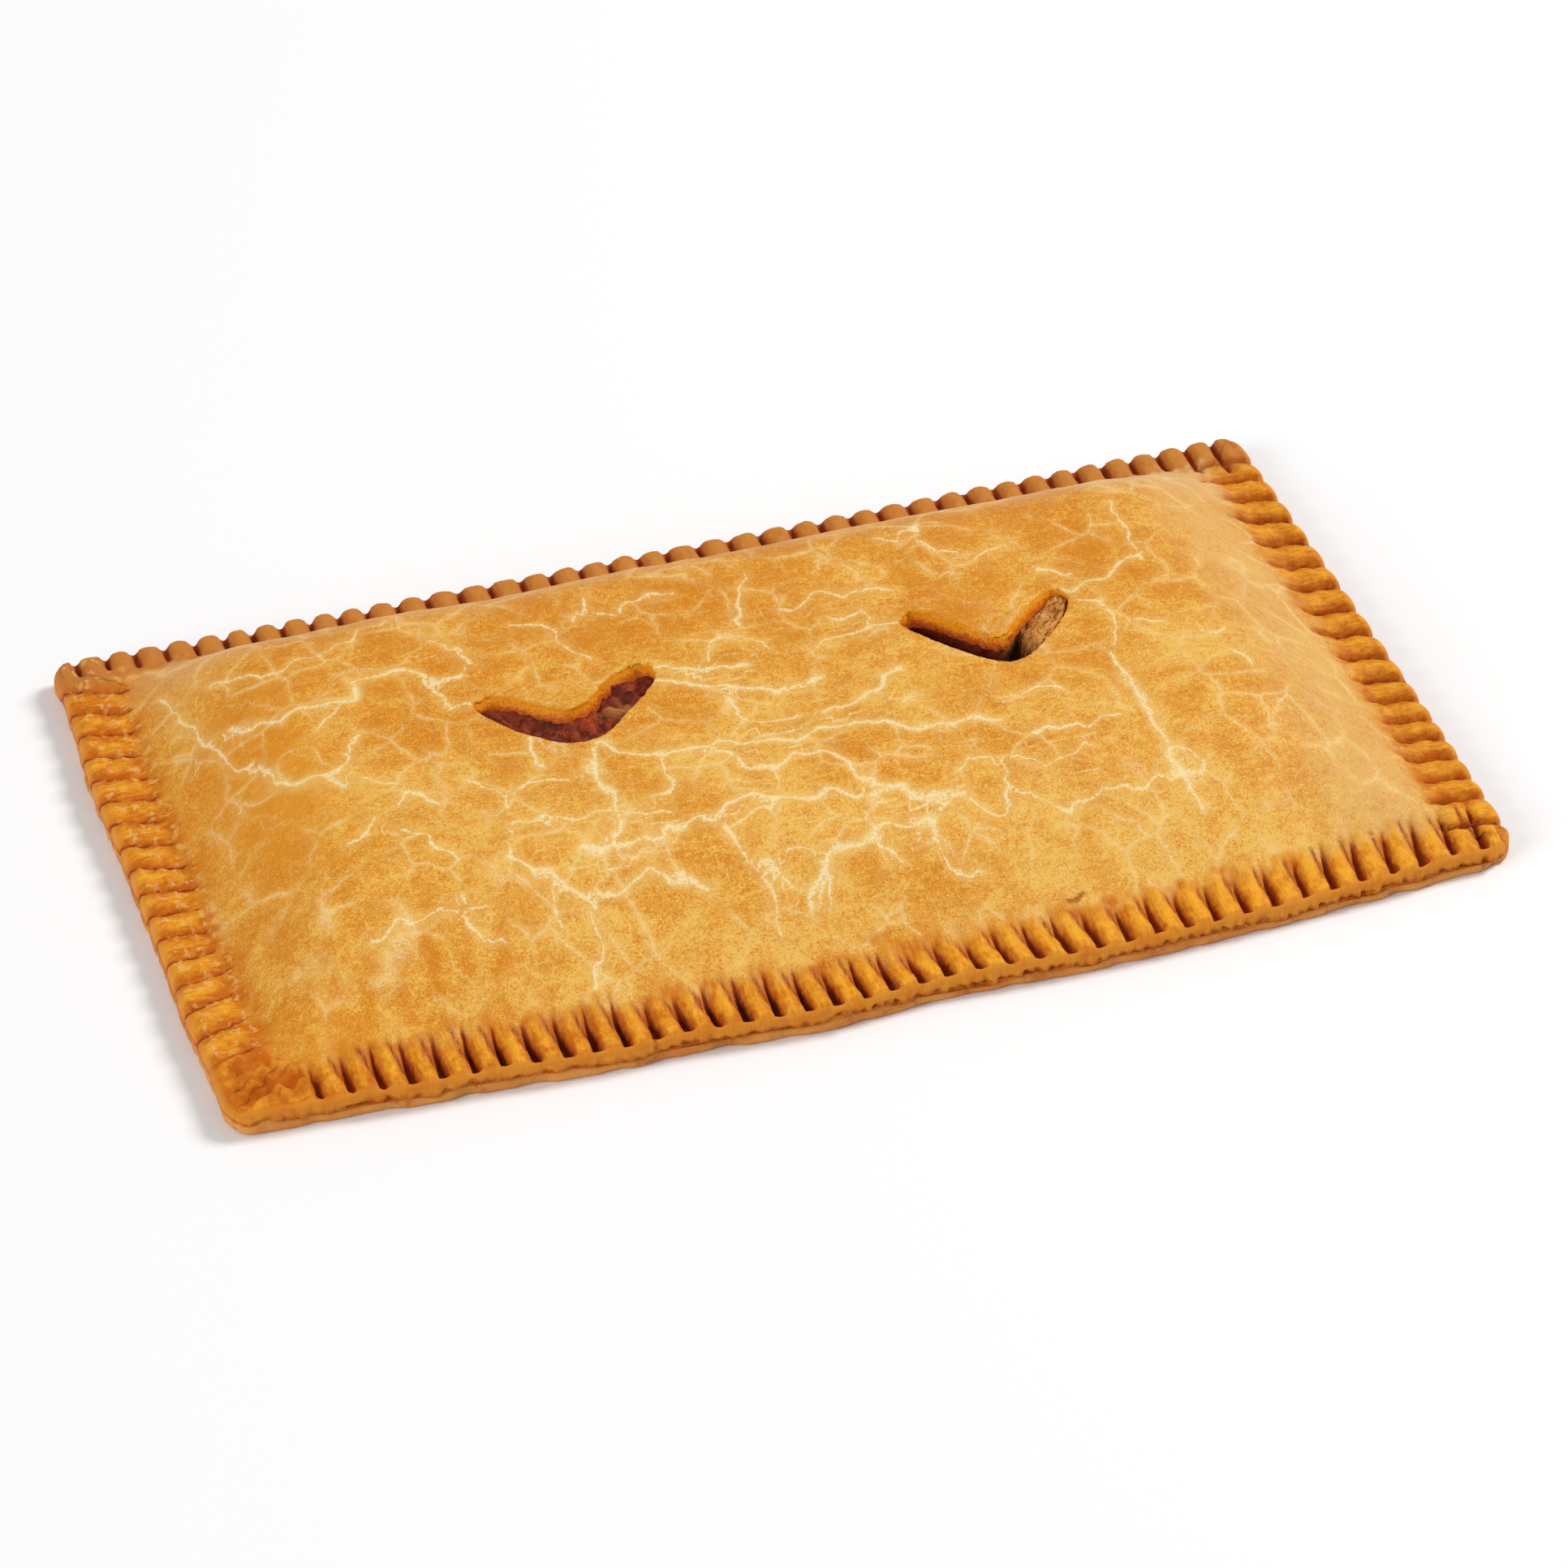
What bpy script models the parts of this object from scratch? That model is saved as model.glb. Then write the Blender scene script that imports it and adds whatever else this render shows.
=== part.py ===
# Rectangular tuna empanada: a flat bottom crust, a pillow-shaped lid pinched to it all round
# with a row of crimps, and a tuna filling that shows through two V-shaped steam vents.
# Metres, +Z up. X runs along the long side, -Y is the front edge, Z = 0 is the underside.
import bmesh
import bpy
import numpy as np

MM = 0.001

# Plan of the lid. Its sides bow, so a corner stands a little in from the middle of a side.
HALF_LENGTH = 151.4 * MM
HALF_WIDTH = 89.5 * MM
FRONT_BOW = 5.7 * MM
BACK_BOW = -1.4 * MM
LEFT_BOW = 0.8 * MM
RIGHT_BOW = 0.9 * MM
FRONT_SLANT = 0.55 * MM
CORNER_RADIUS = {"front_left": 8 * MM, "front_right": 9 * MM, "back_left": 6 * MM, "back_right": 6 * MM}

# Heights of the layers, from the underside up.
BASE_TOP = 3.0 * MM
SEAM_GAP = 0.3 * MM
RIM_TOP = 6.4 * MM
SHOULDER_TOP = 26.2 * MM
MIDDLE_RISE = 2.4 * MM
LID_THICKNESS = 4 * MM
FILLING_GAP = 1.1 * MM

# The lid's outer edge: a short upright wall, then a quarter-round lip.
EDGE_WALL = 0.9 * MM
LIP_WIDTH = 2.4 * MM
LEAST_AT_GROOVE = 1.1 * MM

# Where the pillow leaves the rim on each side, and how far in it reaches its full height.
FOOT = {"front": 8.5 * MM, "back": 8 * MM, "left": 12 * MM, "right": 10 * MM}
RUN = {"front": 46 * MM, "back": 34.5 * MM, "left": 36 * MM, "right": 41 * MM}
CORNER_BLEND = 0.18
FOOT_SOFTNESS = 1.25

# The pillow is fuller over one corner.
FULL_CORNER_CENTRE = (-114 * MM, 68 * MM)
FULL_CORNER_REACH = 17 * MM
FULL_CORNER_RISE = 1.8 * MM

# Crimps: grooves pressed across the rim between round ridges. Each row's drift says how far its
# grooves stand from even steps, as pairs of the share of the row and millimetres.
FRONT_DRIFT = ((0, 0), (0.25, -2.3), (0.4, -3), (0.52, -4.9), (0.64, -5), (0.77, -4.1), (0.9, -2.6), (1, 0))
BACK_DRIFT = ((0, 0), (0.13, -1.1), (0.26, -3.2), (0.39, -1.5), (0.51, -1.7), (0.64, 0.7), (0.77, 1.3),
              (1, 0))
LEFT_DRIFT = ((0, 0), (0.06, 1.3), (0.12, 2.4), (0.2, 2), (0.3, 1.2), (0.4, 0.3), (1, 0))
RIGHT_DRIFT = ((0, 0), (0.06, 0.8), (0.18, -1.6), (0.3, -4.2), (0.4, -5.6), (0.5, -4.6), (0.6, -3),
               (0.75, -0.9), (0.85, 0.8), (0.95, 0.8), (1, 0))
FRONT_GROOVES = {"first": -130.2 * MM, "last": 142.8 * MM, "count": 40, "depth": 2.4 * MM,
                 "start": 1.9 * MM, "end": 13 * MM, "scallop": 0 * MM, "drift": FRONT_DRIFT}
BACK_GROOVES = {"first": -144.5 * MM, "last": 143 * MM, "count": 40, "depth": 2.6 * MM,
                "start": -4 * MM, "end": 12 * MM, "scallop": 1.5 * MM, "drift": BACK_DRIFT}
LEFT_GROOVES = {"first": -64 * MM, "last": 75.2 * MM, "count": 17, "depth": 1.5 * MM,
                "start": -2 * MM, "end": 14 * MM, "scallop": 0.3 * MM, "drift": LEFT_DRIFT}
RIGHT_GROOVES = {"first": -73.5 * MM, "last": 78.5 * MM, "count": 18, "depth": 2.4 * MM,
                 "start": -3 * MM, "end": 15 * MM, "scallop": 1.1 * MM, "drift": RIGHT_DRIFT}
GROOVE_START_FADE = (1 * MM, 1.5 * MM)
GROOVE_END_FADE = 3.5 * MM
RIDGE_RISE = 0.7 * MM
SCALLOP_REACH = 6 * MM
RIDGE_ROUNDNESS = 0.55

# The front left corner was pressed flat: its crimps fade out over these distances from both sides.
PRESSED_CORNER = (16 * MM, 22 * MM)

# Steam vents: the outline of each V in millimetres, down its outer edge and back up its inner one.
VENT_LEFT = ((-66.7, 12.5), (-61.2, 1.5), (-53.2, -6.5), (-48.2, -8), (-41.7, -6.8), (-31.7, 3), (-27.2, 9),
             (-27.2, 13.5), (-29.7, 15), (-35.2, 12), (-41.7, 5), (-47.2, 2.3), (-51.7, 5.5), (-62.2, 14.5))
VENT_RIGHT = ((34.3, 11.5), (42.3, 0), (49.3, -7), (53.8, -10), (57.3, -9), (65.3, -1), (71.3, 6),
              (75.3, 12), (73.8, 14.3), (68.8, 12), (61.3, 5.5), (55.3, -1.7), (49.3, 3.5), (39.3, 13.8))
VENT_CUT_HEIGHT = 24 * MM

# Hollow in the filling under the left arm of the right-hand vent.
HOLLOW_CENTRE = (46 * MM, -1 * MM)
HOLLOW_RADIUS = 11 * MM
HOLLOW_DEPTH = 7 * MM

# Lumps of the filling: their depth, their length, and the cosine waves across and along that make them.
LUMP_HEIGHT = 0.4 * MM
LUMP_LENGTH = 13 * MM
LUMP_WAVE_X = 3.1
LUMP_WAVE_Y = 2.7
LUMP_PHASE = 1.3
LEAST_FILLING = 0.8 * MM

FILLING_INSET = 17 * MM
FILLING_CORNER = {corner: 24 * MM for corner in CORNER_RADIUS}

# Mesh sizes.
LID_CELL = 1.2 * MM
FILLING_CELL = 4 * MM
LID_TRIANGLES = 9600
FILLING_TRIANGLES = 1500
BASE_STEP = 3 * MM
BASE_EDGE_ROUND = 0.6 * MM
BASE_INSET = -0.1 * MM
SHARP_EDGE = 60
MERGE_DISTANCE = 0.01 * MM

# Colour and roughness of each layer.
LID_FINISH = ((0.72, 0.35, 0.09), 0.45)
BASE_FINISH = ((0.62, 0.27, 0.07), 0.7)
FILLING_FINISH = ((0.22, 0.07, 0.02), 0.4)

COLLECTION = "tuna_empanada"


def smooth_step(low, high, value):
    t = np.clip((value - low) / (high - low), 0, 1)
    return t * t * (3 - 2 * t)


def side_distances(x, y):
    # Distance in from each of the four bowed sides.
    across = x / HALF_LENGTH
    along = y / HALF_WIDTH
    front = y + HALF_WIDTH - FRONT_BOW * across ** 2 + FRONT_SLANT * across
    back = HALF_WIDTH + min(BACK_BOW, 0) - BACK_BOW * across ** 2 - y
    left = x + HALF_LENGTH - LEFT_BOW * along ** 2
    right = HALF_LENGTH - RIGHT_BOW * along ** 2 - x
    return {"front": front, "back": back, "left": left, "right": right}


def corner_distance(near, far, radius):
    # Distance in from a corner that is rounded to a radius.
    inside = np.hypot(np.maximum(radius - near, 0), np.maximum(radius - far, 0))
    return np.where((near < radius) & (far < radius), radius - inside, np.minimum(near, far))


def edge_distance(x, y):
    side = side_distances(x, y)
    result = np.full(np.shape(x), HALF_LENGTH)
    for corner, radius in CORNER_RADIUS.items():
        end, hand = corner.split("_")
        result = np.minimum(result, corner_distance(side[end], side[hand], radius))
    return result


def groove_lines(grooves):
    # Places of the grooves along a side: even steps, moved by the row's drift.
    step = np.linspace(0, 1, grooves["count"])
    even = grooves["first"] + (grooves["last"] - grooves["first"]) * step
    share, moved = np.transpose(grooves["drift"])
    return even + np.interp(step, share, moved) * MM


def groove_shape(along, grooves):
    # 1 at the bottom of a groove, 0 on the crest of a ridge and beyond the row.
    lines = groove_lines(grooves)
    index = np.clip(np.searchsorted(lines, along), 1, len(lines) - 1)
    phase = (along - lines[index - 1]) / (lines[index] - lines[index - 1])
    ridge = np.abs(np.sin(np.pi * phase)) ** RIDGE_ROUNDNESS
    pitch = abs(lines[-1] - lines[0]) / (len(lines) - 1)
    beyond = np.maximum(lines.min() - along, along - lines.max())
    return (1 - ridge) * (beyond < pitch / 2)


def groove_reach(inward, grooves):
    before, after = GROOVE_START_FADE
    begins = smooth_step(grooves["start"] - before, grooves["start"] + after, inward)
    return begins * (1 - smooth_step(grooves["end"] - GROOVE_END_FADE, grooves["end"], inward))


def plain_corner(x, y):
    # 0 in the front left corner, which was pressed flat, and 1 elsewhere.
    side = side_distances(x, y)
    return smooth_step(*PRESSED_CORNER, np.maximum(side["left"], side["front"]))


def crimp_height(x, y):
    # Ridges stand above the rim and grooves are cut below it; where two rows cross, the deeper wins.
    side = side_distances(x, y)
    rows = (("front", x, FRONT_GROOVES), ("back", x, BACK_GROOVES))
    rows += (("left", y, LEFT_GROOVES), ("right", y, RIGHT_GROOVES))
    rise = np.zeros(np.shape(x))
    depth = np.zeros(np.shape(x))
    for name, along, grooves in rows:
        reach = groove_reach(side[name], grooves)
        rise = np.maximum(rise, RIDGE_RISE * reach)
        depth = np.maximum(depth, grooves["depth"] * groove_shape(along, grooves) * reach)
    return (rise - depth) * plain_corner(x, y)


def scallop(x, y):
    # Moves the edge inwards at each groove that runs out through it.
    side = side_distances(x, y)
    pull_back = BACK_GROOVES["scallop"] * groove_shape(x, BACK_GROOVES)
    pull_right = RIGHT_GROOVES["scallop"] * groove_shape(y, RIGHT_GROOVES)
    pull_left = LEFT_GROOVES["scallop"] * groove_shape(y, LEFT_GROOVES)
    fade = {name: 1 - smooth_step(0, SCALLOP_REACH, side[name]) for name in side}
    move_x = pull_left * fade["left"] - pull_right * fade["right"]
    return x + move_x, y - pull_back * fade["back"]


def pillow(x, y):
    # 0 on the rim, 1 on the top: the nearest side decides, blended round the corners.
    side = side_distances(x, y)
    total = sum(np.exp(-(side[name] - FOOT[name]) / RUN[name] / CORNER_BLEND) for name in side)
    climb = np.clip(-CORNER_BLEND * np.log(total), 0, 1)
    return np.sin(climb * np.pi / 2) ** FOOT_SOFTNESS


def pillow_height(x, y):
    dome = np.maximum(1 - (x / HALF_LENGTH) ** 2, 0) * np.maximum(1 - (y / HALF_WIDTH) ** 2, 0)
    away = np.hypot(x - FULL_CORNER_CENTRE[0], y - FULL_CORNER_CENTRE[1]) / FULL_CORNER_REACH
    full = SHOULDER_TOP - RIM_TOP + MIDDLE_RISE * dome + FULL_CORNER_RISE * np.exp(-away ** 2)
    return full * pillow(x, y)


def lid_top(x, y):
    inward = np.clip(edge_distance(x, y) / LIP_WIDTH, 0, 1)
    lip_low = BASE_TOP + SEAM_GAP + EDGE_WALL
    lip = lip_low + (RIM_TOP - lip_low) * np.sqrt(1 - (1 - inward) ** 2)
    floor = lip_low - EDGE_WALL + LEAST_AT_GROOVE
    return np.maximum(lip + pillow_height(x, y) + crimp_height(x, y) * inward, np.minimum(lip, floor))


def lid_underside(x, y):
    return np.maximum(RIM_TOP + pillow_height(x, y) - LID_THICKNESS, BASE_TOP + SEAM_GAP)


def filling_top(x, y):
    away = np.hypot(x - HOLLOW_CENTRE[0], y - HOLLOW_CENTRE[1]) / HOLLOW_RADIUS
    waves = np.cos(x / LUMP_LENGTH * LUMP_WAVE_X + LUMP_PHASE) * np.cos(y / LUMP_LENGTH * LUMP_WAVE_Y)
    lumps = LUMP_HEIGHT * (waves - 1) / 2
    under = RIM_TOP + pillow_height(x, y) - LID_THICKNESS - FILLING_GAP
    top = under + lumps - HOLLOW_DEPTH * np.exp(-away ** 2)
    return np.maximum(top, BASE_TOP + SEAM_GAP + LEAST_FILLING)


def filling_underside(x, y):
    return np.full(np.shape(x), BASE_TOP + SEAM_GAP)


def onto_plan(u, v, inset, corner_radius):
    # Puts a square grid, -1 to 1 both ways, on the plan, a given distance in from its edge.
    x = u * (HALF_LENGTH - inset)
    y = v * (HALF_WIDTH - inset)
    for corner, size in corner_radius.items():
        end, hand = corner.split("_")
        toward_y = -1 if end == "front" else 1
        toward_x = -1 if hand == "left" else 1
        a = np.clip((x * toward_x - (HALF_LENGTH - inset - size)) / size, 0, 1)
        b = np.clip((y * toward_y - (HALF_WIDTH - inset - size)) / size, 0, 1)
        x = x + toward_x * size * a * (np.sqrt(1 - b * b / 2) - 1)
        y = y + toward_y * size * b * (np.sqrt(1 - a * a / 2) - 1)
    across = x / HALF_LENGTH
    front = (FRONT_BOW * across ** 2 - FRONT_SLANT * across) * (1 - y / HALF_WIDTH) / 2
    back = (min(BACK_BOW, 0) - BACK_BOW * across ** 2) * (1 + y / HALF_WIDTH) / 2
    left = LEFT_BOW * (y / HALF_WIDTH) ** 2 * (1 - across) / 2
    right = RIGHT_BOW * (y / HALF_WIDTH) ** 2 * (1 + across) / 2
    return x + left - right, y + front + back


def food_material(name, finish):
    colour, roughness = finish
    material = bpy.data.materials.new(name)
    material.use_nodes = True
    shader = material.node_tree.nodes["Principled BSDF"]
    shader.inputs["Base Color"].default_value = (*colour, 1)
    shader.inputs["Roughness"].default_value = roughness
    shader.inputs["Metallic"].default_value = 0
    return material


def add_object(name, mesh, material, collection):
    mesh.name = name
    mesh.materials.append(material)
    piece = bpy.data.objects.new(name, mesh)
    collection.objects.link(piece)
    return piece


def dough_layer(name, cell, inset, corner_radius, top, underside, material, collection):
    # A closed layer: a flat grid is extruded once, then both faces take their heights.
    cells_x = round(2 * (HALF_LENGTH - inset) / cell)
    cells_y = round(2 * (HALF_WIDTH - inset) / cell)
    sheet = bmesh.new()
    bmesh.ops.create_grid(sheet, x_segments=cells_x, y_segments=cells_y, size=1)
    flat = len(sheet.verts)
    bmesh.ops.extrude_face_region(sheet, geom=list(sheet.faces), use_keep_orig=True)
    sheet.verts.ensure_lookup_table()
    points = np.array([vertex.co for vertex in sheet.verts], dtype=float)
    x, y = onto_plan(points[:, 0], points[:, 1], inset, corner_radius)
    heights = np.concatenate([underside(x[:flat], y[:flat]), top(x[flat:], y[flat:])])
    x, y = scallop(x, y)
    mesh = bpy.data.meshes.new(name)
    sheet.to_mesh(mesh)
    sheet.free()
    mesh.vertices.foreach_set("co", np.column_stack([x, y, heights]).ravel())
    outwards = bmesh.new()
    outwards.from_mesh(mesh)
    bmesh.ops.recalc_face_normals(outwards, faces=outwards.faces)
    outwards.to_mesh(mesh)
    outwards.free()
    return add_object(name, mesh, material, collection)


def thin_out(piece, triangles):
    # Keeps the triangles where the surface bends most.
    modifier = piece.modifiers.new("Decimate", "DECIMATE")
    modifier.ratio = triangles / (2 * len(piece.data.polygons))


def plan_loop(inset, step):
    # Points round the plan, one step apart, with the scallops.
    corners = ((-1, -1), (1, -1), (1, 1), (-1, 1))
    points = []
    for number, (start_x, start_y) in enumerate(corners):
        end_x, end_y = corners[(number + 1) % 4]
        length = abs(end_x - start_x) * HALF_LENGTH + abs(end_y - start_y) * HALF_WIDTH
        for t in np.arange(0, 1, step / length):
            points.append((start_x + (end_x - start_x) * t, start_y + (end_y - start_y) * t))
    u, v = np.array(points).T
    return np.column_stack(scallop(*onto_plan(u, v, inset, CORNER_RADIUS)))


def bottom_crust(collection):
    sheet = bmesh.new()
    loop = [sheet.verts.new((x, y, 0)) for x, y in plan_loop(BASE_INSET, BASE_STEP)]
    face = sheet.faces.new(loop)
    raised = bmesh.ops.extrude_face_region(sheet, geom=[face], use_keep_orig=True)
    top = [item for item in raised["geom"] if isinstance(item, bmesh.types.BMVert)]
    bmesh.ops.translate(sheet, verts=top, vec=(0, 0, BASE_TOP))
    bmesh.ops.recalc_face_normals(sheet, faces=sheet.faces)
    mesh = bpy.data.meshes.new("bottom_crust")
    sheet.to_mesh(mesh)
    sheet.free()
    piece = add_object("bottom_crust", mesh, food_material("baked_base", BASE_FINISH), collection)
    bevel = piece.modifiers.new("Bevel", "BEVEL")
    bevel.width = BASE_EDGE_ROUND
    bevel.segments = 1
    bevel.limit_method = "ANGLE"
    bevel.angle_limit = np.radians(SHARP_EDGE)
    return piece


def vent_cutter(name, vent, cutters):
    curve = bpy.data.curves.new(name, "CURVE")
    curve.dimensions = "2D"
    curve.fill_mode = "BOTH"
    curve.extrude = VENT_CUT_HEIGHT / 2
    spline = curve.splines.new("POLY")
    spline.points.add(len(vent) - 1)
    for point, (x, y) in zip(spline.points, vent):
        point.co = (x * MM, y * MM, 0, 1)
    spline.use_cyclic_u = True
    guide = bpy.data.objects.new(name + "_guide", curve)
    guide.location = (0, 0, SHOULDER_TOP)
    cutters.objects.link(guide)
    bpy.context.view_layer.update()
    evaluated = guide.evaluated_get(bpy.context.evaluated_depsgraph_get())
    mesh = bpy.data.meshes.new_from_object(evaluated)
    solid = bmesh.new()
    solid.from_mesh(mesh)
    bmesh.ops.remove_doubles(solid, verts=solid.verts, dist=MERGE_DISTANCE)
    bmesh.ops.recalc_face_normals(solid, faces=solid.faces)
    solid.to_mesh(mesh)
    solid.free()
    cutter = bpy.data.objects.new(name, mesh)
    cutter.matrix_world = guide.matrix_world
    cutters.objects.link(cutter)
    bpy.data.objects.remove(guide)
    cutter.hide_render = True
    cutter.display_type = "WIRE"
    return cutter


def top_crust(collection, cutters):
    material = food_material("baked_lid", LID_FINISH)
    piece = dough_layer("top_crust", LID_CELL, 0, CORNER_RADIUS, lid_top, lid_underside, material, collection)
    thin_out(piece, LID_TRIANGLES)
    for name, vent in (("vent_left", VENT_LEFT), ("vent_right", VENT_RIGHT)):
        boolean = piece.modifiers.new(name, "BOOLEAN")
        boolean.operation = "DIFFERENCE"
        boolean.solver = "EXACT"
        boolean.object = vent_cutter(name, vent, cutters)
    return piece


def filling(collection):
    material = food_material("tuna_filling", FILLING_FINISH)
    piece = dough_layer("filling", FILLING_CELL, FILLING_INSET, FILLING_CORNER,
                        filling_top, filling_underside, material, collection)
    thin_out(piece, FILLING_TRIANGLES)
    return piece


def centre_on_plan(pieces, cutters):
    # Moves everything so that the middle of the pie's box stands on the origin.
    corners = np.array([vertex.co for piece in pieces for vertex in piece.data.vertices])
    middle = (corners.min(axis=0) + corners.max(axis=0)) / 2
    for piece in [*pieces, *cutters.objects]:
        piece.location.x -= middle[0]
        piece.location.y -= middle[1]


def main():
    for item in list(bpy.data.objects):
        bpy.data.objects.remove(item)
    collection = bpy.data.collections.new(COLLECTION)
    cutters = bpy.data.collections.new("cutters")
    for group in (collection, cutters):
        bpy.context.scene.collection.children.link(group)
    pieces = [bottom_crust(collection), filling(collection), top_crust(collection, cutters)]
    centre_on_plan(pieces, cutters)


main()
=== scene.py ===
import math

import bmesh
import bpy
import numpy as np
from mathutils import Matrix, Vector


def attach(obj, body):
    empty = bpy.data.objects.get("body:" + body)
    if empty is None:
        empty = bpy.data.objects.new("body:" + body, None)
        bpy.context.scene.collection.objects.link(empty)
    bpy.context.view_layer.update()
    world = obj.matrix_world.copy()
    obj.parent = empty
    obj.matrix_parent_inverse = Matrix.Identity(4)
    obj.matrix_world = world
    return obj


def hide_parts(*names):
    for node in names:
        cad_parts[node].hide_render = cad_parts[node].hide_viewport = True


# Rectangular tuna empanada: bottom crust, filling and crimped lid with two V-shaped steam vents.
# Shapes are worked out in millimetres and written to the meshes in metres.
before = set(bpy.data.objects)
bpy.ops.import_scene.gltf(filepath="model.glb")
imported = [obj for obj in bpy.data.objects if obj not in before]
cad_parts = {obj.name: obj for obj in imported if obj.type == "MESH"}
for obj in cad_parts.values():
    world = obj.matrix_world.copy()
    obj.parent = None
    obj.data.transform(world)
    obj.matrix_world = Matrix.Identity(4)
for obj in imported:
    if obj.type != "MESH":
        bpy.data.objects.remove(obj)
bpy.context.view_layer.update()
mm = 0.001


# numbers that the three layers share
plan = {
    "halfLength": 151.4, "halfWidth": 89.5,
    "frontBow": 5.7, "backBow": -1.4, "leftBow": 0.8, "rightBow": 0.9, "frontSlant": 0.55,
    "corners": {"front_left": 5.5, "front_right": 9, "back_left": 6, "back_right": 6},
    "fillingCorners": {"front_left": 24, "front_right": 24, "back_left": 24, "back_right": 24},
    "foot": {"front": 8.5, "back": 8, "left": 12, "right": 10},      # where the pillow leaves the rim
    "run": {"front": 46, "back": 34.5, "left": 36, "right": 41},     # how far in it is fully up
    "cornerBlend": 0.18, "footSoftness": 1.25,
    "fullCorner": (-114, 68), "fullReach": 17, "fullRise": 1.8,     # the pillow is fuller over one corner
    "baseTop": 3.0, "seamGap": 0.15, "rimTop": 6.4, "shoulderTop": 26.2, "middleRise": 2.4,
    "lidThickness": 4.0, "fillingGap": 1.1, "grooveFloor": 0.9,
    # the lid's edge, taller at the front
    "edgeWall": 0.9, "lipWidth": 2.4, "frontWall": 2.0, "frontLip": 1.2,
    "frontWave": ((-151, 0), (-135, -0.3), (-122, -0.9), (-112, -0.3), (-107, -0.3), (-100, -0.5), (-92, -0.9),
                  (-80, -0.2), (-62, 0), (-47, -1.0), (-32, 0), (-17, 0.7), (-9, 0), (-2, -0.7), (13, -1.9),
                  (28, -1.1), (43, -0.2), (58, 0), (73, 0), (95, -0.2), (118, -0.9), (126, -0.8), (133, -1.8),
                  (142, -1.2), (151, 0)),
    "leftWave": ((-90, 0.4), (-80, 0.4), (-65, -0.15), (-45, 0.5), (-25, -0.2), (20, -0.2), (32, 0.55),
                 (48, 0.55), (60, -0.5), (80, -0.5), (90, 0)),
    "waveReach": 9, "seamWave": 0.4, "seamWaveLength": 12,
}

# each row of grooves: drift moves them off even steps, as pairs of the share of the row and millimetres
# how dark each groove is painted along a row holds its browning and the painted shade in it together
crimps = {
    "front": {
        "first": -130.2, "last": 142.8, "count": 40, "seed": 11, "drift": ((0, 0), (0.25, -2.3), (0.4, -3),
        (0.52, -4.9), (0.64, -5), (0.77, -4.1), (0.9, -2.6), (1, 0)), "depth": 2.1, "rise": 0.8,
        "round": 2.0, "shallow": 0.35, "fade": 9, "start": 0.4, "hook": 0, "outer": ((-130, 1.9),
        (-115, 1.2), (-95, 0.9), (90, 0.8), (110, 1.1), (143, 1.2)), "inner": ((-130, 16), (-96, 16),
        (-60, 15), (0, 14.5), (60, 14), (90, 15), (110, 17), (130, 18), (136, 20)), "lean": ((-130, 0),
        (0, -0.02), (10, -0.1), (35, -0.1), (60, 0), (100, 0.12), (143, 0.14)), "burnAndShade": ((-130, 0.5),
        (-110, 0.7), (-95, 1), (-40, 1), (0, 0.8), (40, 0.6), (60, 0.5), (80, 0.42)), "floor": (0.65, 0.1),
        "wallLow": (0.5, 0.4), "wallHigh": (0.8, 0.7), "scallop": ((0, 0),),
    },
    "back": {
        "first": -144.5, "last": 143, "count": 40, "seed": 23, "drift": ((0, 0), (0.13, -1.1), (0.26, -3.2),
        (0.39, -1.5), (0.51, -1.7), (0.64, 0.7), (0.77, 1.3), (1, 0)), "depth": 1.5, "rise": 0.9,
        "round": 2.4, "shallow": 0.5, "fade": 4, "start": -5, "hook": 0, "outer": ((0, -4),),
        "inner": ((-150, 8), (-128, 9), (-110, 11), (128, 12), (140, 18)), "lean": ((0, 0),),
        "burnAndShade": ((0, 0.3),), "floor": (0.5, 0.3), "wallLow": (1.4, 1.2), "wallHigh": (1.4, 1.2),
        "scallop": ((-130, 1.6), (-120, 2.4), (-70, 2.4), (-60, 1.2), (112, 1.2), (120, 1.8)),
    },
    "left": {
        "first": -64, "last": 75.2, "count": 17, "seed": 37, "drift": ((0, 0), (0.06, 1.3), (0.12, 2.4),
        (0.2, 2), (0.3, 1.2), (0.4, 0.3), (1, 0)), "depth": 1.3, "rise": 0.6, "round": 0.8, "shallow": 0.6,
        "fade": 4, "start": -3, "hook": 0, "outer": ((0, -2),), "inner": ((-60, 14), (60, 14), (72, 18)),
        "lean": ((-65, 0.3), (-45, 0.3), (-20, -0.1), (0, -0.25), (75, -0.3)), "burnAndShade": ((0, 0.5),),
        "floor": (0.22, 0.12), "wallLow": (0.9, 0.8), "wallHigh": (1.6, 1.8), "scallop": ((0, 0.4),),
    },
    "right": {
        "first": -73.5, "last": 78.5, "count": 18, "seed": 41, "drift": ((0, 0), (0.06, 0.8), (0.18, -1.6),
        (0.3, -4.2), (0.4, -5.6), (0.5, -4.6), (0.6, -3), (0.75, -0.9), (0.85, 0.8), (0.95, 0.8), (1, 0)),
        "depth": 2.4, "rise": 0.8, "round": 2.3, "shallow": 0.5, "fade": 5, "start": -4, "hook": -2,
        "outer": ((0, -3),), "inner": ((-72, 18), (-60, 15), (-20, 15), (0, 17), (78, 18)),
        "lean": ((0, 0),), "burnAndShade": ((-75, 1.0), (-60, 0.85), (80, 0.75)), "floor": (0.35, 0.15),
        "wallLow": (0.8, 0.7), "wallHigh": (1.5, 1.3), "scallop": ((0, 2.2),),
    },
}

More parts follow.
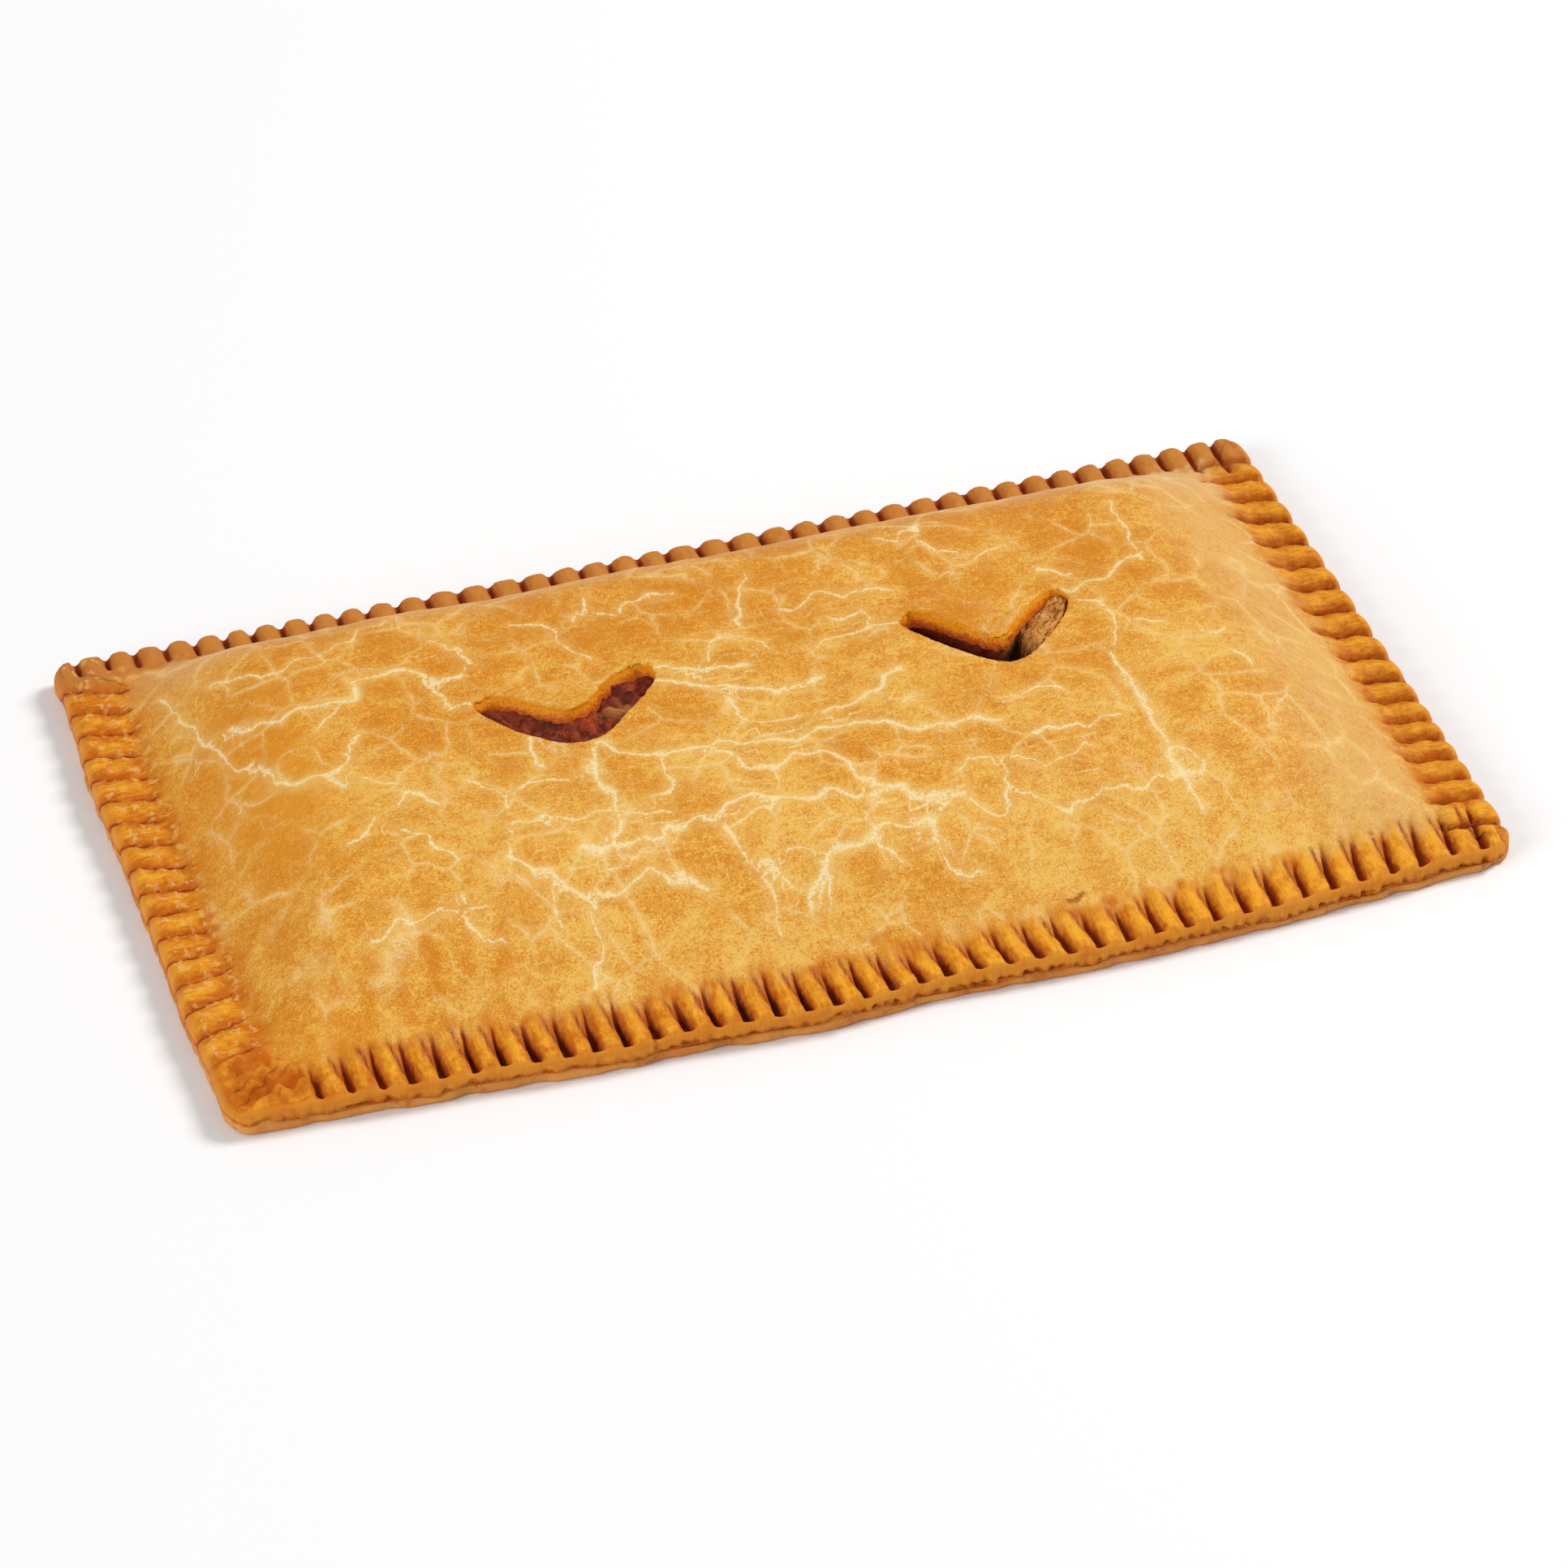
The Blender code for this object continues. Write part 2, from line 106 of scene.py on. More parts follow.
# the outline of each vent, down its outer edge and back up its inner one
vents = {
    "left": ((-69, 14.2), (-61.5, 1.8), (-53.2, -6.5), (-48.2, -8), (-41.7, -6.8), (-31.2, 3), (-25, 9.8),
             (-24.4, 14.8), (-29, 17), (-36, 13.8), (-42, 7), (-47.4, 4.8), (-52, 8.2), (-62.5, 16.8)),
    "right": ((33.3, 12.5), (42.3, 0), (49.3, -7), (53.8, -10), (58, -9.2), (67, -2.2), (72.8, 4.4), (76.2, 10.4),
              (74.5, 15), (69, 13.4), (61.3, 6.8), (55.3, -0.2), (49.3, 6), (39.5, 17.4)),
}


def ease(low, high, value):
    t = np.clip((value - low) / (high - low), 0, 1)
    return t * t * (3 - 2 * t)


def between(start, end, share):
    return start + (end - start) * share


def spot(x, y, centreX, centreY, reachX, reachY):
    # 1 at a place, fading to 0 round it
    return np.exp(-((x - centreX) / reachX) ** 2 - ((y - centreY) / reachY) ** 2)


def swell(x, y, length, seed, waves=16):
    # unevenness of about unit height, its bumps about one length apart
    dice = np.random.default_rng(seed)
    total = np.zeros(np.shape(x))
    for _ in range(waves):
        angle = dice.uniform(0, 2 * math.pi)
        rate = 2 * math.pi / length * dice.uniform(0.6, 1.5)
        total += np.cos(rate * (x * math.cos(angle) + y * math.sin(angle)) + dice.uniform(0, 2 * math.pi))
    return total / math.sqrt(waves / 2)


def fromTable(value, table, spread=2.5):
    # a listed profile, with its corners softened
    at, height = np.array(table, dtype=float).T
    return sum(np.interp(value + shift, at, height) for shift in (-spread, 0, spread)) / 3


def sideDistances(x, y):
    # how far in from each edge
    across = x / plan["halfLength"]
    along = y / plan["halfWidth"]
    return {
        "front": y + plan["halfWidth"] - plan["frontBow"] * across ** 2 + plan["frontSlant"] * across,
        "back": plan["halfWidth"] + plan["backBow"] - plan["backBow"] * across ** 2 - y,
        "left": x + plan["halfLength"] - plan["leftBow"] * along ** 2,
        "right": plan["halfLength"] - plan["rightBow"] * along ** 2 - x,
    }


def cornerDistance(near, far, radius):
    inside = np.hypot(np.maximum(radius - near, 0), np.maximum(radius - far, 0))
    return np.where((near < radius) & (far < radius), radius - inside, np.minimum(near, far))


def edgeDistance(x, y):
    side = sideDistances(x, y)
    nearest = np.full(np.shape(x), plan["halfLength"])
    for corner, radius in plan["corners"].items():
        end, hand = corner.split("_")
        nearest = np.minimum(nearest, cornerDistance(side[end], side[hand], radius))
    return nearest


def ontoPlan(u, v, inset, corners):
    # puts a square grid, -1 to 1 both ways, on the plan, a given distance in from its edge
    x = u * (plan["halfLength"] - inset)
    y = v * (plan["halfWidth"] - inset)
    for corner, size in corners.items():
        end, hand = corner.split("_")
        towardY = -1 if end == "front" else 1
        towardX = -1 if hand == "left" else 1
        a = np.clip((x * towardX - (plan["halfLength"] - inset - size)) / size, 0, 1)
        b = np.clip((y * towardY - (plan["halfWidth"] - inset - size)) / size, 0, 1)
        x = x + towardX * size * a * (np.sqrt(1 - b * b / 2) - 1)
        y = y + towardY * size * b * (np.sqrt(1 - a * a / 2) - 1)
    across = x / plan["halfLength"]
    along = y / plan["halfWidth"]
    front = (plan["frontBow"] * across ** 2 - plan["frontSlant"] * across) * (1 - along) / 2
    back = (plan["backBow"] - plan["backBow"] * across ** 2) * (1 + along) / 2
    left = plan["leftBow"] * along ** 2 * (1 - across) / 2
    right = plan["rightBow"] * along ** 2 * (1 + across) / 2
    return x + left - right, y + front + back


def pillow(x, y):
    # 0 on the rim, 1 on the top
    side = sideDistances(x, y)
    blend = plan["cornerBlend"]
    total = sum(np.exp(-(side[name] - plan["foot"][name]) / plan["run"][name] / blend) for name in side)
    climb = np.clip(-blend * np.log(total), 0, 1)
    return np.sin(climb * np.pi / 2) ** plan["footSoftness"]


def pillowHeight(x, y):
    dome = np.maximum(1 - (x / plan["halfLength"]) ** 2, 0) * np.maximum(1 - (y / plan["halfWidth"]) ** 2, 0)
    full = plan["fullRise"] * spot(x, y, *plan["fullCorner"], plan["fullReach"], plan["fullReach"])
    return (plan["shoulderTop"] - plan["rimTop"] + plan["middleRise"] * dome + full) * pillow(x, y)


def seamRise(x, y):
    # the seam between the two crusts wanders up and down near the edge
    return plan["seamWave"] * swell(x, y, plan["seamWaveLength"], 5) * (1 - ease(1.5, 5, edgeDistance(x, y)))


def crimpLines(row):
    # places of a row's grooves, with the small unevenness of handwork
    dice = np.random.default_rng(row["seed"])
    count = row["count"]
    step = np.linspace(0, 1, count)
    share, moved = np.transpose(row["drift"])
    place = between(row["first"], row["last"], step) + np.interp(step, share, moved)
    return {
        "place": place + dice.uniform(-0.2, 0.2, count),
        "lean": fromTable(place, row["lean"]) + dice.uniform(-0.03, 0.03, count),
        "outer": fromTable(place, row["outer"]) + dice.uniform(-0.2, 0.2, count),
        "inner": fromTable(place, row["inner"]) + dice.uniform(-1.2, 1.2, count),
        "burnAndShade": fromTable(place, row["burnAndShade"]) * dice.uniform(0.85, 1.1, count),
        "depth": row["depth"] * dice.uniform(0.8, 1.15, count),
        "width": dice.uniform(0.8, 1.25, count),
    }


grooves = {name: crimpLines(row) for name, row in crimps.items()}
ridge = {      # the form between two grooves
    "pivot": 6, "hookReach": 8, "pastEnd": 4, "steepness": 0.93, "peak": 0.6,
    "foldOff": 0.9, "foldBend": 1.8, "foldWidth": 0.5,
}


def crimpRow(name, along, inward):
    # a row's relief, and for its colours the turn from groove to groove, how dark a floor is painted with
    # browning and painted shade, and how wide it is
    row = crimps[name]
    place = grooves[name]["place"]
    hooked = along - row["hook"] * np.clip(1 - inward / ridge["hookReach"], 0, 1) ** 2
    straight = hooked - np.interp(hooked, place, grooves[name]["lean"]) * (inward - ridge["pivot"])
    nearest = np.searchsorted((place[1:] + place[:-1]) / 2, straight)
    here = {key: values[nearest] for key, values in grooves[name].items()}
    outer, inner = here["outer"], here["inner"]
    off = hooked - here["place"] - here["lean"] * (inward - ridge["pivot"])
    left = np.clip(nearest - (off < 0), 0, row["count"] - 2)
    share = off / (place[left + 1] - place[left])
    progress = np.clip((inward - outer) / (inner - outer), 0, 1)
    floor = between(*row["floor"], progress) * here["width"]
    wall = np.where(off < 0, between(*row["wallLow"], progress), between(*row["wallHigh"], progress))
    cut = 1 - ease(floor, floor + wall, np.abs(off))
    inside = (along > place[0] - ridge["pastEnd"]) & (along < place[-1] + ridge["pastEnd"])
    lengthwise = ease(outer - 0.2, outer + 0.6, inward) * inside
    lengthwise = lengthwise * (1 - ease(inner - row["fade"], inner, inward))
    crest = np.clip(np.abs(share) * 2, 0, 1)
    reach = ease(row["start"], row["start"] + 1.6, inward) * (1 - ease(inner - 5, inner + 1, inward))
    steep = 1 - np.sqrt(1 - (ridge["steepness"] * (1 - crest)) ** 2)
    roundness = row["round"] * between(steep, (1 - crest) ** 2, ridge["peak"]) * reach
    foldAndShade = off + ridge["foldOff"] + ridge["foldBend"] * np.clip((inward - 4) / 10, 0, 1) ** 1.5
    foldReach = ease(3, 7, inward) * (1 - ease(inner - 4, inner - 1, inward))
    return {
        "dip": (roundness + here["depth"] * cut * lengthwise * between(1, row["shallow"], progress)) * inside,
        "rise": row["rise"] * reach * inside, "crest": crest * reach * inside,
        "sine": np.sin(2 * math.pi * share), "cosine": np.cos(2 * math.pi * share),
        "burnAndShade": here["burnAndShade"] * lengthwise, "floor": floor,
        # a line that each ridge is folded along, dented a little and painted with shade
        "foldAndShade": np.exp(-(foldAndShade / ridge["foldWidth"]) ** 2) * foldReach,
    }


def plainCorner(side):
    # 0 in the front left corner, which was pressed flat, and 1 elsewhere
    return ease(16, 22, np.maximum(side["left"], side["front"]))


def crimpRelief(x, y):
    side = sideDistances(x, y)
    free = plainCorner(side)
    rows = {name: crimpRow(name, x if name in ("front", "back") else y, side[name]) for name in crimps}
    total = {key: free * np.max([row[key] for row in rows.values()], axis=0)
             for key in ("dip", "rise", "crest")}
    total["foldAndShade"] = rows["front"]["foldAndShade"] * free
    for turned, pair in (("acrossX", ("front", "back")), ("acrossY", ("left", "right"))):
        burnAndShade = {name: rows[name]["burnAndShade"] * free for name in pair}
        sine, cosine, floor = (sum(rows[name][key] * burnAndShade[name] for name in pair)
                               for key in ("sine", "cosine", "floor"))
        total[turned] = (sine, cosine, floor / np.maximum(sum(burnAndShade.values()), 0.001))
    return total


def edgeMoves(x, y):
    # how far the plan is pulled at each point: scallops at the grooves and slow waves of the edge
    side = sideDistances(x, y)
    free = plainCorner(side)
    moveX = np.zeros(np.shape(x))
    moveY = np.zeros(np.shape(x))
    for name, along, towardX, towardY in (("back", x, 0, -1), ("left", y, 1, 0), ("right", y, -1, 0)):
        row = crimps[name]
        notch = crimpRow(name, along, np.full(np.shape(x), 1.0))["dip"] / (row["round"] + row["depth"])
        pull = fromTable(along, row["scallop"]) * notch * (1 - ease(0, 6, side[name])) * free
        moveX += towardX * pull
        moveY += towardY * pull
    moveY -= fromTable(x, plan["frontWave"]) * (1 - ease(0, plan["waveReach"], side["front"]))
    moveX -= fromTable(y, plan["leftWave"]) * (1 - ease(0, plan["waveReach"], side["left"]))
    return moveX, moveY


def pulled(x, y):
    moveX, moveY = edgeMoves(x, y)
    return x + moveX, y + moveY


def unpulled(x, y):
    # the plan point that pulled() carried here
    fromX, fromY = x, y
    for _ in range(3):
        moveX, moveY = edgeMoves(fromX, fromY)
        fromX, fromY = x - moveX, y - moveY
    return fromX, fromY


# cracks in the glaze, as routes over the top: x, y, x, y and so on; shift moves the first two lists
cracks = {
    "shift": (-0.7, 3.0), "unevenness": 0.6, "unevenLength": 9, "reach": 7, "faintness": 0.6,
    "strong": (
        (-26, 10, -21, 11, -19, 8, -15, 6, -10, 5, -4, 5), (-25, 6, -20, 3, -14, 0, -8, -2, -2, -4, 4, -6,
        8, -5, 12, -4), (-117, 9, -115, 3, -112, -2, -104, -4, -102, -9), (-120, 28, -114, 24, -109, 21,
        -104, 23, -99, 22, -93, 21, -91, 25, -90, 28, -87, 30, -82, 28, -77, 27, -74, 23, -72, 21, -66, 22),
        (77, -14, 78, -24, 79, -34, 79, -44, 79, -54, 80, -60, 83, -65),
    ),
    "faint": (
        (-130, 57, -127, 42, -124, 29, -122, 17, -117, 9), (-104, -3, -100, -1, -98, 4, -94, 9), (-98, -6,
        -95, -9, -91, -11), (-119, 47, -112, 43, -109, 38, -103, 40, -95, 42, -88, 44, -83, 48, -77, 49),
        (-65, 11, -71, 12, -73, 16, -75, 20, -76, 26), (-93, 21, -100, 17, -104, 13), (-70, 38, -66, 34,
        -64, 30, -63, 25), (-93, -20, -91, -17, -88, -16, -86, -19, -84, -22), (-107, -28, -102, -26,
        -99, -22), (-95, -28, -90, -31, -89, -37, -86, -41), (-110, -55, -104, -53, -98, -54, -93, -52,
        -88, -54, -83, -53), (30, -46, 34, -43, 38, -44, 40, -48, 41, -53, 38, -57, 33, -57, 30, -54),
        (-11, 9, -10, 13, -6, 17, -1, 16, 2, 13, 3, 9), (0, 20, 2, 26, 4, 31, 6, 36, 8, 39), (10, 23,
        15, 23, 20, 27, 24, 27, 28, 24, 33, 26, 36, 24, 39, 22), (20, 17, 25, 15, 28, 17, 30, 13, 29, 9),
        (36, 9, 31, 10, 25, 8, 18, 8, 12, 5), (-50, 38, -42, 35, -41, 28, -39, 22, -36, 18), (-36, 34,
        -33, 38, -30, 43), (-30, 36, -26, 34, -22, 37, -16, 38, -11, 36), (76, 10, 82, 10, 88, 12, 93, 16,
        98, 18), (98, 17, 99, 25, 98, 33, 99, 40), (77, 6, 81, 2, 84, -1, 83, -8, 80, -14), (41, -53,
        45, -56, 52, -60, 57, -58, 62, -56, 67, -58, 73, -57, 79, -56), (40, -50, 42, -45, 50, -49, 55, -48,
        62, -46), (50, -25, 57, -24, 62, -26), (50, -39, 58, -39, 65, -40, 72, -38), (80, -50, 85, -52,
        87, -54, 86, -57, 81, -56), (40, 43, 46, 42, 50, 44, 54, 47, 58, 45), (50, 39, 53, 34, 57, 32),
        (60, 28, 65, 30, 70, 31), (73, 20, 76, 18, 80, 16), (88, -8, 95, -8), (100, -15, 104, -16,
        108, -13), (106, -22, 109, -26, 108, -30),
    ),
    "strongMiddle": (
        (-46, -9.5, -43, -10, -40, -14, -36, -17, -32, -18.5, -27.5, -18.5, -20.5, -17.5, -13, -19,
        -4.5, -22.5, 4, -21, 12, -20.5, 18, -22.5, 24, -27, 30, -27.5, 33, -29, 37.5, -28, 44, -29),
        (-46.5, -11, -49.5, -21, -47.5, -28, -49.5, -37.5, -52, -42), (-59, -42.5, -50.5, -45, -45.5, -44,
        -37.5, -43, -30.5, -42, -26, -41, -20, -37.5, -14, -40, -7.5, -41, -1, -41.5, 5, -43.5, 8.5, -44.5),
        (-75, -40.5, -72, -44.5, -67.5, -49, -60.5, -53.5, -53.5, -54, -46, -51, -40, -53.5, -35, -57),
        (-21.5, -20.5, -15.5, -27, -10, -30.5, -3, -27, 3, -29, 7.5, -34.5, 8.5, -41, 17, -44, 17, -47,
        24, -47.5, 28, -47.5), (-13.5, -66, -11, -60.5, -6, -56, 3.5, -54.5, 6, -53, 11, -51.5, 17, -53,
        19, -54, 19, -57.5), (-27, -44.5, -24.5, -50, -19.5, -56, -15, -60.5), (8, -14.5, 12, -14, 16, -13,
        20.5, -11.5, 23.5, -9, 24, -6, 28, -4),
    ),
    "faintMiddle": (
        (-24, -52.5, -22, -58, -20.5, -62, -22, -68.5), (-67.5, -49, -69.5, -58), (-60.5, -53.5, -61, -62.5,
        -62.5, -66, -64, -71), (-88, -48, -88, -53.5, -83, -58.5), (-22.5, -44.5, -14.5, -41.5, -11.5, -41),
        (3.5, -54.5, 10.5, -60), (-7, -60.5, -9, -66), (-14, -54, -5.5, -55), (-78, -12, -75, -13.5,
        -71.5, -18.5, -70.5, -25), (-73, -36.5, -73, -32.5, -71, -31, -67.5, -31, -65, -33, -64.5, -36),
        (-66, -18.5, -56, -19), (-67.5, -31, -61.5, -30.5, -57, -34.5, -49, -34, -43.5, -35.5, -37, -38),
        (-33.5, -19, -34, -27, -33.5, -30, -39.5, -33), (-60, -2, -59.5, -7, -61.5, -12, -58.5, -14),
        (-20, -22, -17.5, -25, -12.5, -28.5, -11.5, -32, -12, -36), (-12, -3, -11, -12, -6, -14, 2, -13),
        (0, -4, 5, -4, 12, -2), (15.5, -57, 20, -60, 21, -63, 23.5, -65, 27.5, -66), (22, -51.5,
        27.5, -47.5), (24.5, -17.5, 28.5, -15.5, 31, -16),
    ),
}

# a split in the lip, and a brown nick
marks = ((-56.5, -88, -56, -84), (44.5, -74.4, 46.7, -74.5, 48.4, -73.1))


def withinReach(x, y, points, reach):
    # which places lie in the box round these points
    low, high = points.min(axis=0) - reach, points.max(axis=0) + reach
    return np.flatnonzero((x > low[0]) & (x < high[0]) & (y > low[1]) & (y < high[1]))


def nearestRoute(x, y, routes, reach):
    # the step from each place to the nearest route, and which route that is
    place = np.column_stack([x, y])
    step = np.full(place.shape, float(reach))
    best = np.full(len(place), 2.0 * reach * reach)
    which = np.zeros(len(place), dtype=int)
    for number, points in enumerate(routes):
        near = withinReach(x, y, points, reach)
        for start, end in zip(points[:-1], points[1:]):
            side = end - start
            share = np.clip((place[near] - start) @ side / (side @ side), 0, 1)
            away = place[near] - start - share[:, None] * side
            square = (away ** 2).sum(axis=1)
            closer = square < best[near]
            chosen = near[closer]
            step[chosen] = away[closer]
            best[chosen] = square[closer]
            which[chosen] = number
    return step, which


ventSettings = {
    "points": 152, "jitter": 0.07, "softening": 0.2, "lean": {"left": 0.65, "right": 0.5},
    "lowest": 14, "second": 19, "fineFrom": 20.5, "fineTo": 28.9, "fineStep": 0.7, "highest": 33,
    "leanBelow": 27.3, "mostLean": 2.6,
    "roundOuter": 0.4, "roundInner": 0.6, "bead": 0.25, "beadAt": 1.4, "beadWidth": 0.9,
}


def ventOutline(name):
    # the listed corners, rounded twice, then stepped evenly
    points = np.array(vents[name], dtype=float)
    cut = ventSettings["softening"]
    for _ in range(2):
        after = np.roll(points, -1, axis=0)
        pairs = np.stack([points * (1 - cut) + after * cut, points * cut + after * (1 - cut)], axis=1)
        points = pairs.reshape(-1, 2)
    closed = np.vstack([points, points[:1]])
    length = np.concatenate([[0], np.cumsum(np.hypot(*np.diff(closed, axis=0).T))])
    at = np.linspace(0, length[-1], ventSettings["points"], endpoint=False)
    x, y = (np.interp(at, length, values) for values in closed.T)
    jitter = ventSettings["jitter"]
    return np.column_stack([x + jitter * swell(x, y, 3, 61), y + jitter * swell(x, y, 3, 62)])


def ventDistance(x, y, outline):
    # distance out from a vent's outline, negative inside it, and which point of the outline is nearest
    distance = np.full(np.shape(x), 50.0)
    nearest = np.zeros(np.shape(x), dtype=int)
    near = withinReach(x, y, outline, 9)
    fromX, fromY = x[near, None], y[near, None]
    startX, startY = outline.T
    endX, endY = np.roll(outline, -1, axis=0).T
    sideX, sideY = endX - startX, endY - startY
    share = np.clip(((fromX - startX) * sideX + (fromY - startY) * sideY) / (sideX ** 2 + sideY ** 2), 0, 1)
    gap = np.hypot(fromX - startX - share * sideX, fromY - startY - share * sideY)
    crosses = (startY > fromY) != (endY > fromY)
    at = startX + (fromY - startY) / np.where(sideY == 0, 1, sideY) * sideX
    inside = (crosses & (fromX < at)).sum(axis=1) % 2 == 1
    distance[near] = np.where(inside, -1, 1) * gap.min(axis=1)
    nearest[near] = np.hypot(fromX - startX, fromY - startY).argmin(axis=1)
    return distance, nearest


outlines = {name: ventOutline(name) for name in vents}


def tongueSide(outline):
    # 1 along the inner edge of the V, which curled up, and 0 along the outer one
    share = np.linspace(0, 1, len(outline), endpoint=False)
    return ease(0.50, 0.56, share) * (1 - ease(0.94, 0.99, share))


lidFoot = plan["baseTop"] + plan["seamGap"]
relief = {
    # height, length and seed
    "slow": (0.28, 46, 3), "medium": (0.1, 13, 4), "knead": (0.14, 5.5, 6), "rimGrain": (0.07, 2.2, 12),
    "cornerLumps": (1.0, 6.8, 9), "flakes": (1.0, 4.2, 7), "fineFlakes": (0.5, 1.9, 8),
    "flakeHeight": 0.22, "crease": (-131, 8, 3.2, 34), "creaseDepth": 0.7, "foldDepth": 0.3,
}


def bumps(kind, x, y):
    height, length, seed = relief[kind]
    return height * swell(x, y, length, seed)


def lidParts(x, y):
    # everything about the lid's top at plan points: its height and the masks that its colours use
    side = sideDistances(x, y)
    inward = edgeDistance(x, y)
    free = plainCorner(side)
    upright = (1 - ease(7, 12, side["front"])) * ease(4, 14, np.minimum(side["left"], side["right"]))
    wall = lidFoot + between(plan["edgeWall"], plan["frontWall"], upright)
    lipShare = np.clip(inward / between(plan["lipWidth"], plan["frontLip"], upright), 0, 1)
    lip = wall + (plan["rimTop"] - wall) * np.sqrt(1 - (1 - lipShare) ** 2)
    raised = pillow(x, y)
    rim = 1 - ease(0.03, 0.25, raised)
    uneven = bumps("slow", x, y) * raised
    uneven += bumps("medium", x, y) * ease(0, 0.3, raised)
    for kind in ("knead", "rimGrain"):
        uneven += bumps(kind, x, y) * rim * lipShare
    leftZone = (1 - ease(13, 19, side["left"])) * ease(0.5, 3, side["left"]) * free
    flakes = ease(0, 1.2, bumps("flakes", x, y) + bumps("fineFlakes", x, y)) * leftZone
    lumps = bumps("cornerLumps", x, y) * (1 - free) * ease(1, 5, inward)
    crease = relief["creaseDepth"] * spot(x, y, *relief["crease"])
    crimp = crimpRelief(x, y)
    height = lip + pillowHeight(x, y) + (crimp["rise"] - crimp["dip"]) * lipShare + uneven
    height += relief["flakeHeight"] * flakes + lumps - crease - relief["foldDepth"] * crimp["foldAndShade"]
    height = np.maximum(height, np.minimum(lip, lidFoot + plan["grooveFloor"]))
    return {"height": height, "flakes": flakes, "corner": 1 - free, "inward": inward, "side": side, **crimp}


def lidInside(x, y):
    return plan["rimTop"] + pillowHeight(x, y) - plan["lidThickness"]


fillingLook = {
    "lump": 0.45, "lumpLength": 5, "edgeGap": 0.35, "leftDepth": 3.4, "armDepth": 10, "least": 0.8,
    "chunkDepth": 1.2, "chunkFall": 3.0, "chunkEdge": (61.2, 62.8), "chunk": (69, 4.5),
    # a point of the side that the chunk falls away to, and the way in
    "chunkSide": (55.3, -0.2, 0.705, -0.709),
    "crevice": ((71, 10), (65, 3.5), (60.5, -5.5)), "creviceDepth": 2.6,
}


def fillingTop(x, y):
    # just under the crust, up into the left vent, sunk in the right one's left arm, a chunk in its right arm
    lumps = swell(x, y, fillingLook["lumpLength"], 71) + 0.3 * swell(x, y, 2.6, 72)
    away = {name: ventDistance(x, y, outline)[0] for name, outline in outlines.items()}
    nearest = np.minimum(away["left"], away["right"])
    gap = between(fillingLook["edgeGap"], plan["fillingGap"], ease(1, 5, nearest))
    height = lidInside(x, y) - gap - 0.15 * np.clip(1 - lumps, 0, 2)
    inLeft = ease(-0.6, 0.5, -away["left"])
    height += inLeft * (plan["lidThickness"] - fillingLook["leftDepth"] + gap + fillingLook["lump"] * lumps)
    chunk = ease(*fillingLook["chunkEdge"], x + 0.5 * swell(x, y, 3, 76))
    inRight = ease(0, 0.9, -away["right"])
    sunk = plan["lidThickness"] - fillingLook["armDepth"] + gap + 0.6 * lumps
    rough = 0.35 * lumps + 0.3 * swell(x * 2, y, 1.6, 75)
    for place in fillingLook["crevice"]:
        rough = rough - fillingLook["creviceDepth"] * spot(x, y, *place, 2.2, 1.1)
    lineX, lineY, acrossX, acrossY = fillingLook["chunkSide"]
    fall = fillingLook["chunkFall"] * (1 - ease(0.5, 4, (x - lineX) * acrossX + (y - lineY) * acrossY))
    raised = plan["lidThickness"] - fillingLook["chunkDepth"] - fall + gap + rough
    height += inRight * between(sunk, raised, chunk)
    return np.maximum(height, lidFoot + fillingLook["least"])


def leaveEdit():
    if bpy.context.object and bpy.context.object.mode != "OBJECT":
        bpy.ops.object.mode_set(mode="OBJECT")


def only(piece):
    # one object selected and active
    leaveEdit()
    bpy.ops.object.select_all(action="DESELECT")
    piece.select_set(True)
    bpy.context.view_layer.objects.active = piece


def readPoints(piece):
    points = np.empty(len(piece.data.vertices) * 3, dtype=np.float32)
    piece.data.vertices.foreach_get("co", points)
    return points.reshape(-1, 3).astype(float) / mm


def writePoints(piece, points):
    piece.data.vertices.foreach_set("co", (np.asarray(points) * mm).astype(np.float32).ravel())
    piece.data.update()


def storeNumbers(piece, name, values):
    layer = piece.data.attributes.new(name, "FLOAT", "POINT")
    layer.data.foreach_set("value", np.asarray(values, dtype=np.float32))


def storeSteps(piece, name, x, y, z):
    layer = piece.data.attributes.new(name, "FLOAT_VECTOR", "POINT")
    layer.data.foreach_set("vector", np.column_stack([x, y, z]).astype(np.float32).ravel())


def enterEdit(piece):
    only(piece)
    bpy.ops.object.mode_set(mode="EDIT")


def faceOut(piece):
    enterEdit(piece)
    bpy.ops.mesh.select_all(action="SELECT")
    bpy.ops.mesh.normals_make_consistent(inside=False)
    leaveEdit()


def refine(piece, chosen, cuts):
    # subdivides the edges between these vertices
    enterEdit(piece)
    bpy.ops.mesh.select_mode(type="VERT")
    bpy.ops.mesh.select_all(action="DESELECT")
    leaveEdit()
    piece.data.vertices.foreach_set("select", chosen)
    enterEdit(piece)
    bpy.ops.mesh.subdivide(number_cuts=cuts)
    leaveEdit()


def pickRim():
    # selects the open edges of the mesh being edited
    bpy.ops.mesh.select_mode(type="EDGE")
    bpy.ops.mesh.select_all(action="DESELECT")
    bpy.ops.mesh.select_non_manifold(extend=False, use_wire=False, use_boundary=True, use_multi_face=False,
                                     use_non_contiguous=False, use_verts=False)


def extrudeRim(piece):
    # adds a loop of points all round the open edge, and tells how many points came before them
    before = len(piece.data.vertices)
    enterEdit(piece)
    pickRim()
    bpy.ops.mesh.extrude_edges_move()
    leaveEdit()
    return before


def spacing(half, bands, middle):
    # places from -half to half: fine cells in the bands by both ends, coarser ones between them
    edge = [0.0]
    start = 0.0
    for until, cell in bands:
        cells = max(1, round((until - start) / cell))
        edge += list(np.linspace(start, until, cells + 1)[1:])
        start = until
    cells = round((2 * half - 2 * start) / middle)
    centre = np.linspace(start, 2 * half - start, cells + 1)[1:-1]
    places = np.concatenate([edge, centre, 2 * half - np.array(edge[::-1])])
    return places / half - 1


